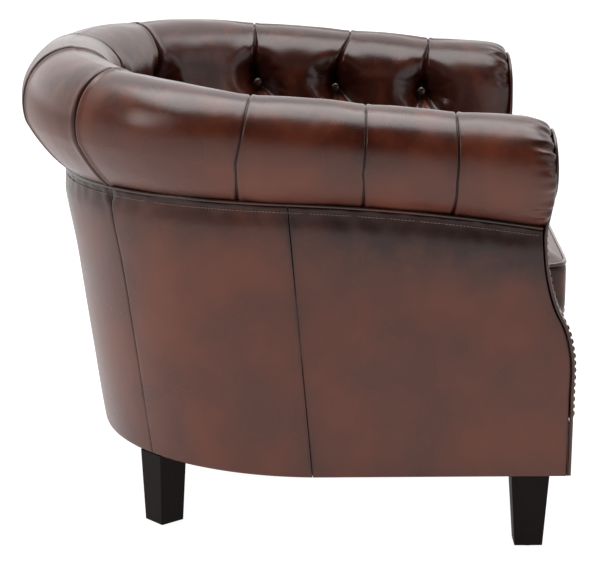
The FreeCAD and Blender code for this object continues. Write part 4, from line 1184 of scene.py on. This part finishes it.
class CHAIR_OT_nails(bpy.types.Operator):
    """Drive the rows of domed nails into the arm fronts"""
    bl_idname = "chair.nails"
    bl_label = "Nails"

    def execute(self, context):
        sizes = context.scene.chair_sizes
        points, faces = dome_mesh(1.0, 0.60, rings=4, sides=12)
        source = pattern_shape("nail_source", points, faces)
        for side, word in ((1, "left"), (-1, "right")):
            z = np.arange(197.0, 470.0, 2.0)
            outer, out_normal = nail_height(z, side, 9.5)
            inner, in_normal = nail_height(z, side, 9.5, inner=True)
            row = outer[0] + (inner[0] - outer[0]) * np.linspace(0, 1, 30)[:, None]
            path = np.concatenate([outer[::-1], row[1:-1], inner])
            facing = np.concatenate([out_normal[::-1], np.repeat(out_normal[:1], 28, axis=0), in_normal])
            obj = along_paths("nail_row_" + word, [path], [facing], source, "bronzed_steel", sizes.nail_pitch,
                              sizes.nail_radius, 0.03)
            finish(obj, CHAIR, ("facing_nails_" + word,))
        bpy.data.objects.remove(source)
        return {"FINISHED"}


class CHAIR_OT_stitches(bpy.types.Operator):
    """Sew the top stitching below the welt"""
    bl_idname = "chair.stitches"
    bl_label = "Top stitching"

    def execute(self, context):
        sizes = context.scene.chair_sizes
        source = stitch_shape()
        paths, directions = [], []
        seam, last = REAR_SEAM[1], END - 8
        spans = ((10 - seam, seam - 10), (seam + 10, last), (-last, -seam - 10))
        for start, stop in spans:
            path = shell_path(11.0, 0.35, start, stop, 4.0)
            flat = path * np.array([1, 1, 0]) - np.array([0, 5.0, 0])
            direction = np.where((np.abs(np.linspace(start, stop, len(path))) < QUARTER)[:, None], flat,
                                 np.stack([np.sign(path[:, 0]), 0 * path[:, 0], 0 * path[:, 0]], axis=1))
            direction /= np.linalg.norm(direction, axis=1, keepdims=True)
            paths.append(path)
            directions.append(direction)
        obj = along_paths("top_stitching", paths, directions, source, "waxed_thread", sizes.stitch_pitch,
                          sizes.stitch_length, 0.08)
        finish(obj, CHAIR, ())
        bpy.data.objects.remove(source)
        return {"FINISHED"}


# ------------------------------------------------------------------ arm fronts, base band and apron
class CHAIR_OT_fronts(bpy.types.Operator):
    """Build the padded leather facings of the arms, with their scrolled tops"""
    bl_idname = "chair.fronts"
    bl_label = "Arm fronts"

    def execute(self, context):
        z_top = SCROLL_TOP
        for side, word in ((1, "left"), (-1, "right")):
            bend = np.linspace(0, 1, 46)
            z = np.concatenate([np.linspace(BAND_TOP + 0.5, 500, 70),
                                500 + (z_top - 0.3 - 500) * np.sin(bend[1:] * math.pi / 2)])
            inner, outer = facing_outline(z)
            w = np.concatenate([[0, 0.01, 0.03, 0.06], np.linspace(0.1, 0.9, 20), [0.94, 0.97, 0.99, 1]])
            x = inner[:, None] + (outer - inner)[:, None] * w[None, :]
            zz = z[:, None] * np.ones_like(w)[None, :]
            y = smooth_curve(FRONT_CURVE, zz)
            width = (outer - inner)[:, None]
            edge = np.minimum(w, 1 - w)[None, :] * width
            edge = np.minimum(edge, np.minimum((zz - BAND_TOP) * 2.5, (z_top - zz) * 1.2))
            q = np.clip(1 - edge / 7.0, 0, 1)
            relief = 4.5 * (1 - np.sqrt(np.maximum(1 - q * q, 0))) - 1.2 * smoothstep(5, 36, edge)
            base = np.stack([side * x, y + relief, zz], axis=2)
            base[..., 1] += 0.7 * wander(base, 60.0, 12.0)
            # darker all over a little, more at the rounded edges and towards the scroll at the top
            dark = 0.16 + 0.35 * bell(edge, 6) + 0.2 * bell(edge, 18) + 0.25 * bell(z_top - zz, 70)
            obj = new_piece("arm_front_" + word, base, grid_faces(*base.shape[:2]), "rubbed_cowhide",
                            rub=dark)
            turn_out(obj, (side * 0.29, 0.2, 0.35))
            obj = thicken(obj, 0.003)
            finish(obj, CHAIR, ("front_facing_" + word, "scroll_facing_" + word))
        return {"FINISHED"}


def strip(name, x0, x1, z0, z1, y_face, radius, bulge, node, seed, thickness=0.003):
    """A padded leather strip across the front with rounded edges."""
    w = np.concatenate([[0, 0.002, 0.005, 0.009], np.linspace(0.014, 0.986, 90), [0.991, 0.995, 0.998, 1]])
    t = np.concatenate([[0, 0.01, 0.03, 0.05], np.linspace(0.08, 0.92, 16), [0.95, 0.97, 0.99, 1]])
    tt, ww = np.meshgrid(t, w, indexing="ij")
    x = x0 + (x1 - x0) * ww
    z = z0 + (z1 - z0) * tt
    edge = np.minimum(np.minimum(ww, 1 - ww) * (x1 - x0), np.minimum(tt, 1 - tt) * (z1 - z0) * 2.5)
    q = np.clip(1 - edge / radius, 0, 1)
    y = y_face + radius * 0.7 * (1 - np.sqrt(np.maximum(1 - q * q, 0))) - bulge * smoothstep(0, 38, edge)
    base = np.stack([x, y, z], axis=2)
    base[..., 1] += 0.9 * wander(base, 70.0, seed) + 0.3 * wander(base * [0.4, 1, 1], 20.0, seed + 1)
    # darker all over a little, more at the rounded edges
    dark = 0.16 + 0.4 * bell(edge, 6) + 0.2 * bell(edge, 20)
    obj = new_piece(name, base, grid_faces(*base.shape[:2]), "rubbed_cowhide", rub=dark)
    turn_out(obj, (0, 0.2, 0.2))
    obj = thicken(obj, thickness)
    return finish(obj, CHAIR, (node,))


class CHAIR_OT_base(bpy.types.Operator):
    """Build the plain band across the foot of the front and the panel above it"""
    bl_idname = "chair.base"
    bl_label = "Base band and apron"

    def execute(self, context):
        strip("foot_band", -320.0, 320.0, 110.0, BAND_TOP - 0.4, -386.6, 5.0, 1.6, "base_band", 21.0)
        strip("seat_front", -240.0, 240.0, BAND_TOP + 0.3, 309.0, -382.4, 5.0, 1.6, "front_apron", 25.0)
        return {"FINISHED"}


# ------------------------------------------------------------------ loose cushion
SEAT_HALF = 228.0
SEAT_CENTRE = -53.0
SEAT_FRONT = -389.0
SEAT_CORNER = 22.0
PIPE_TOP_Z = 392.0
PIPE_LOW_Z = 320.0
BOTTOM_Z = 313.5


def seat_outline(offset, count=220):
    """Evenly spaced plan outline of the cushion, in millimetres."""
    half, front, corner = SEAT_HALF + offset, SEAT_FRONT - offset, SEAT_CORNER + offset
    pieces = []
    angles = np.linspace(0, math.pi, 120)
    pieces.append(np.stack([half * np.cos(angles), SEAT_CENTRE + half * np.sin(angles)], axis=1))
    turn = np.linspace(math.pi, 1.5 * math.pi, 12)
    pieces.append(np.stack([-half + corner + corner * np.cos(turn), front + corner + corner * np.sin(turn)],
                           axis=1))
    turn = np.linspace(1.5 * math.pi, 2 * math.pi, 12)
    pieces.append(np.stack([half - corner + corner * np.cos(turn), front + corner + corner * np.sin(turn)],
                           axis=1))
    loop = np.concatenate(pieces)
    loop = np.concatenate([loop, loop[:1]])
    length = np.concatenate([[0], np.cumsum(np.linalg.norm(np.diff(loop, axis=0), axis=1))])
    even = np.linspace(0, length[-1], count, endpoint=False)
    return np.stack([np.interp(even, length, loop[:, 0]), np.interp(even, length, loop[:, 1])], axis=1)


def cushion_start():
    """The unstuffed cushion: a box with a round back, a little smaller than the finished one."""
    loop = seat_outline(-0.5)
    middle = np.array([0.0, -100.0])
    rings = []
    for share, z in ((0.02, BOTTOM_Z + 1), (0.5, BOTTOM_Z + 1), (0.97, BOTTOM_Z + 2), (1.0, PIPE_LOW_Z),
                     (1.0, PIPE_TOP_Z), (0.97, PIPE_TOP_Z + 7), (0.8, PIPE_TOP_Z + 16),
                     (0.5, PIPE_TOP_Z + 22), (0.2, PIPE_TOP_Z + 24), (0.02, PIPE_TOP_Z + 24)):
        ring = middle + (loop - middle) * share
        rings.append(np.column_stack([ring, np.full(len(ring), z)]))
    points = np.concatenate(rings)
    count = len(loop)
    faces = []
    for r in range(len(rings) - 1):
        a, b = r * count, (r + 1) * count
        faces += [(a + k, a + (k + 1) % count, b + (k + 1) % count, b + k) for k in range(count)]
    faces.append(list(reversed(range(count))))
    faces.append([(len(rings) - 1) * count + k for k in range(count)])
    obj = new_piece("seat_pad", points, faces, "rubbed_cowhide")
    face_outwards(obj)
    return obj


def stuff_cushion(obj):
    """Swells the cushion with a short cloth simulation, held along its two seams."""
    remesh = obj.modifiers.new("Even mesh", "REMESH")
    remesh.mode = "VOXEL"
    remesh.voxel_size = 0.006
    obj = make_plain(obj)
    mesh = obj.data
    count = len(mesh.vertices)
    rest = np.zeros(count * 3)
    mesh.vertices.foreach_get("co", rest)
    rest = rest.reshape(-1, 3)
    outline = seat_outline(-0.5, 400) * MM
    held = obj.vertex_groups.new(name="held")
    for i, p in enumerate(rest):
        near_seam = min(abs(p[2] - PIPE_TOP_Z * MM), abs(p[2] - PIPE_LOW_Z * MM))
        if near_seam < 0.006:
            gap = np.min(np.hypot(outline[:, 0] - p[0], outline[:, 1] - p[1]))
            if gap < 0.008:
                held.add([i], 1.0, "REPLACE")
    cloth = obj.modifiers.new("Stuffing", "CLOTH")
    cloth.settings.use_pressure = True
    cloth.settings.uniform_pressure_force = 4.0
    cloth.settings.effector_weights.gravity = 0
    cloth.settings.vertex_group_mass = "held"
    cloth.settings.quality = 5
    scene = bpy.context.scene
    for step in range(1, 21):
        scene.frame_set(step)
    obj = make_plain(obj)
    scene.frame_set(1)
    return obj, rest


def dress_cushion(obj, rest):
    """Caps the swelling, rests the underside flat, adds the pulls and folds of a used seat and paints shade
    beside the top piping.
    """
    mesh = obj.data
    p = np.zeros(len(mesh.vertices) * 3)
    mesh.vertices.foreach_get("co", p)
    p = p.reshape(-1, 3)
    move = (p - rest) / MM
    limit = np.array([6.0, 7.0, 13.0])
    move = limit * np.tanh(move / limit)
    points = rest / MM + move
    x, y, z = points.T
    top = smoothstep(PIPE_TOP_Z - 2, PIPE_TOP_Z + 14, z)
    lift = np.zeros_like(z)
    for side in (-1, 1):
        corner = np.array([side * (SEAT_HALF - 8), SEAT_FRONT + 12])
        dx, dy = (x - corner[0]) * -side, y - corner[1]
        r = np.hypot(dx, dy) + 1e-6
        turn = np.arctan2(dy, dx)
        for angle, reach, amount in ((0.40, 160, 4.0), (0.72, 220, 5.0), (0.98, 190, 4.4), (1.25, 130, 3.0)):
            off = (turn - angle) * r
            along = smoothstep(8, 40, r) * (1 - smoothstep(reach * 0.5, reach, r))
            lift += amount * along * (bell(off + 5, 7) - 0.8 * bell(off - 6, 8))
        lift -= 5.0 * bell(r, 46)
    lift += 1.6 * wander(points * [1, 1, 0], 90.0, 31.0) + 0.5 * wander(points * [1, 1, 0], 28.0, 33.0)
    z = z + top * lift
    sides = (smoothstep(PIPE_LOW_Z - 2, PIPE_LOW_Z + 10, z) *
             (1 - smoothstep(PIPE_TOP_Z - 10, PIPE_TOP_Z + 2, z)))
    pull = 1.1 * wander(points * [1, 1, 0.5], 45.0, 35.0)
    flat = np.column_stack([x, y + 53, 0 * x])
    flat /= np.maximum(np.linalg.norm(flat, axis=1, keepdims=True), 1)
    points = np.column_stack([x, y, np.maximum(z, BOTTOM_Z)]) + flat * (sides * pull)[:, None]
    # painted shade beside the top line of piping, over a darkening of the whole cushion
    outline = seat_outline(-0.5, 500)
    gap = np.array([np.min(np.hypot(outline[:, 0] - a, outline[:, 1] - b)) if c > 330 else 60.0
                    for a, b, c in points])
    near = bell(np.hypot(gap, points[:, 2] - PIPE_TOP_Z), 9)
    dark = 0.60 + 0.5 * near
    mesh.vertices.foreach_set("co", (points * MM).ravel())
    layer = mesh.attributes.new("rub", "FLOAT", "POINT")
    layer.data.foreach_set("value", dark.astype(np.float32))
    mesh.update()
    smooth = obj.modifiers.new("Even out", "SMOOTH")
    smooth.factor = 0.5
    smooth.iterations = 2
    finer = obj.modifiers.new("Finer", "SUBSURF")
    finer.levels = 1
    finer.render_levels = 1
    obj = make_plain(obj)
    obj.data.polygons.foreach_set("use_smooth", [True] * len(obj.data.polygons))
    return obj


def seam_path(obj, z):
    """Path of a seam round the finished cushion, found on its own surface."""
    surface = BVHTree.FromObject(obj, bpy.context.evaluated_depsgraph_get())
    middle = np.array([0.0, -100.0])
    path = []
    for x, y in seat_outline(25.0, 260):
        start = Vector((x, y, z)) * MM
        towards = (Vector((middle[0], middle[1], z)) * MM - start).normalized()
        hit = surface.ray_cast(start, towards)[0]
        path.append(np.array(hit) / MM - np.array(towards) * 0.9)
    path = np.array(path)
    for _ in range(3):
        path = (np.roll(path, 1, axis=0) + 2 * path + np.roll(path, -1, axis=0)) / 4
    return path


class CHAIR_OT_cushion(bpy.types.Operator):
    """Stuff the loose seat cushion and sew its piping on"""
    bl_idname = "chair.cushion"
    bl_label = "Seat cushion"

    def execute(self, context):
        obj, rest = stuff_cushion(cushion_start())
        obj = dress_cushion(obj, rest)
        obj.data.materials.clear()
        obj.data.materials.append(bpy.data.materials["seat_cowhide"])
        finish(obj, CUSHION, ("cushion_cover", "cushion_core"))
        for name, z, node in (("top_piping", PIPE_TOP_Z, "cushion_piping_top"),
                              ("low_piping", PIPE_LOW_Z, "cushion_piping_bottom")):
            path = seam_path(obj, z)
            pipe = tube(name, [path], context.scene.chair_sizes.cushion_piping, "piping_cowhide", closed=True)
            finish(pipe, CUSHION, (node,))
        return {"FINISHED"}


# ------------------------------------------------------------------ studio
FLOOR_HALF = 30.0                   # half the floor's side in metres
EYE = (-3.6425, 0.052, 1.2747)      # place of the camera in metres
EYE_PITCH = 14.88                   # degrees downwards
EYE_YAW = 1.02                      # degrees to the right
LENS = 150.0
SENSOR_WIDE = 36.0
# soft lights: place, point they face, width and height, and power in watts
LIGHTS = (("overhead_softbox", (-0.18, -0.1, 2.2), (-0.18, -0.1, 0.4), (1.35, 2.6), 48.0),
          ("rear_side_box", (-1.3, 2.2, 1.7), (0, 0.2, 0.55), (0.5, 1.2), 9.0),
          ("front_side_box", (-0.9, -2.4, 1.4), (0, 0, 0.5), (0.5, 1.2), 3.0))


def build_floor(scene):
    """A pale, faintly glowing floor."""
    floor = bpy.data.materials.new("white_paper_floor")
    floor.use_nodes = True
    tree = floor.node_tree
    tree.nodes.clear()
    paper = add(tree, "ShaderNodeBsdfDiffuse", {"Color": (0.35, 0.35, 0.35, 1)})
    looked_at = add(tree, "ShaderNodeLightPath").outputs["Is Camera Ray"]
    strength = add(tree, "ShaderNodeMapRange", {"To Min": 0.46, "To Max": 0.97}, {"Value": looked_at})
    glow = add(tree, "ShaderNodeEmission", {"Color": (1, 1, 1, 1)},
               {"Strength": strength.outputs["Result"]})
    both = add(tree, "ShaderNodeAddShader")
    tree.links.new(paper.outputs[0], both.inputs[0])
    tree.links.new(glow.outputs[0], both.inputs[1])
    add(tree, "ShaderNodeOutputMaterial", links={"Surface": both.outputs[0]})
    mesh = bpy.data.meshes.new("floor")
    half = FLOOR_HALF
    mesh.from_pydata([(-half, -half, 0), (half, -half, 0), (half, half, 0), (-half, half, 0)], [],
                     [(0, 1, 2, 3)])
    mesh.materials.append(floor)
    ground = bpy.data.objects.new("floor", mesh)
    scene.collection.objects.link(ground)
    ground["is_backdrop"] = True


def build_sky(scene):
    """Pale surroundings, white where the camera looks straight at them."""
    world = bpy.data.worlds.new("studio")
    scene.world = world
    world.use_nodes = True
    tree = world.node_tree
    tree.nodes.clear()
    place = add(tree, "ShaderNodeTexCoord").outputs["Generated"]
    axis = add(tree, "ShaderNodeSeparateXYZ", links={"Vector": place})
    # pale walls behind and beside the chair; a dim room in front of it above eye level
    back = add(tree, "ShaderNodeMapRange", {"interpolation_type": "SMOOTHSTEP", "From Min": -0.15,
                                            "From Max": 0.50, "To Min": 0.0, "To Max": 1.4},
               {"Value": axis.outputs["X"]})
    low = add(tree, "ShaderNodeMapRange", {"interpolation_type": "SMOOTHSTEP", "From Min": 0.05,
                                           "From Max": 0.30, "To Min": 0.34, "To Max": 0.03},
              {"Value": axis.outputs["Z"]})
    share = add(tree, "ShaderNodeMath", {"operation": "MAXIMUM"},
                {0: back.outputs["Result"], 1: low.outputs["Result"]})
    seen = add(tree, "ShaderNodeLightPath").outputs["Is Camera Ray"]
    level_node = add(tree, "ShaderNodeMix", {"data_type": "FLOAT"}, {"Factor": seen})
    tree.links.new(share.outputs[0], level_node.inputs[2])
    level_node.inputs[3].default_value = 1.0
    sky = add(tree, "ShaderNodeBackground", {"Color": (1, 1, 1, 1)}, {"Strength": level_node.outputs[0]})
    add(tree, "ShaderNodeOutputWorld", links={"Surface": sky.outputs[0]})


def build_lights(scene):
    """A wide softbox overhead and two weak boxes beside the chair."""
    for name, spot, aim, shape, power in LIGHTS:
        light = bpy.data.lights.new(name, "AREA")
        light.shape = "RECTANGLE"
        light.size, light.size_y = shape
        light.energy = power
        obj = bpy.data.objects.new(name, light)
        obj.location = spot
        obj.rotation_euler = (Vector(aim) - Vector(spot)).to_track_quat("-Z", "Y").to_euler()
        scene.collection.objects.link(obj)


def build_camera(scene):
    """A long lens to the sitter's right, a little above the chair."""
    camera = bpy.data.cameras.new("camera")
    camera.sensor_width = SENSOR_WIDE
    camera.lens = LENS
    eye = bpy.data.objects.new("camera", camera)
    eye.location = EYE
    pitch, yaw = math.radians(EYE_PITCH), math.radians(EYE_YAW)
    look = Vector((math.cos(pitch) * math.cos(yaw), -math.cos(pitch) * math.sin(yaw), -math.sin(pitch)))
    eye.rotation_euler = look.to_track_quat("-Z", "Y").to_euler()
    scene.collection.objects.link(eye)
    scene.camera = eye


class CHAIR_OT_stage(bpy.types.Operator):
    """Set the floor, the soft lights and the camera"""
    bl_idname = "chair.stage"
    bl_label = "Studio"

    def execute(self, context):
        scene = context.scene
        scene.view_settings.view_transform = "Standard"
        scene.view_settings.look = "None"
        build_floor(scene)
        build_sky(scene)
        build_lights(scene)
        build_camera(scene)
        return {"FINISHED"}


# ------------------------------------------------------------------ add-on
STEPS = (CHAIR_OT_materials, CHAIR_OT_stage, CHAIR_OT_cover, CHAIR_OT_buttons, CHAIR_OT_panels,
         CHAIR_OT_piping, CHAIR_OT_fronts, CHAIR_OT_base, CHAIR_OT_nails, CHAIR_OT_stitches, CHAIR_OT_cushion)


class CHAIR_PT_sidebar(bpy.types.Panel):
    """Buttons and settings of the armchair"""
    bl_idname = "CHAIR_PT_sidebar"
    bl_label = "Tub armchair"
    bl_space_type = "VIEW_3D"
    bl_region_type = "UI"
    bl_category = "Armchair"

    def draw(self, context):
        for settings in (context.scene.chair_sizes, context.scene.chair_colours):
            box = self.layout.box()
            for name in settings.__annotations__:
                box.prop(settings, name)
        column = self.layout.column()
        for step in STEPS:
            column.operator(step.bl_idname)


CLASSES = (ChairSizes, ChairColours, *STEPS, CHAIR_PT_sidebar)


def register():
    for cls in CLASSES:
        bpy.utils.register_class(cls)
    bpy.types.Scene.chair_sizes = bpy.props.PointerProperty(type=ChairSizes)
    bpy.types.Scene.chair_colours = bpy.props.PointerProperty(type=ChairColours)


def unregister():
    del bpy.types.Scene.chair_colours
    del bpy.types.Scene.chair_sizes
    for cls in reversed(CLASSES):
        bpy.utils.unregister_class(cls)


def plain(value):
    return [plain(v) for v in value] if hasattr(value, "__len__") else float(value)


def main():
    register()
    for step in STEPS:
        group, name = step.bl_idname.split(".")
        getattr(getattr(bpy.ops, group), name)()
    {"cad": plain(CAD_BOX), "visual": plain(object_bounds())}


if __name__ == "__main__":
    main()
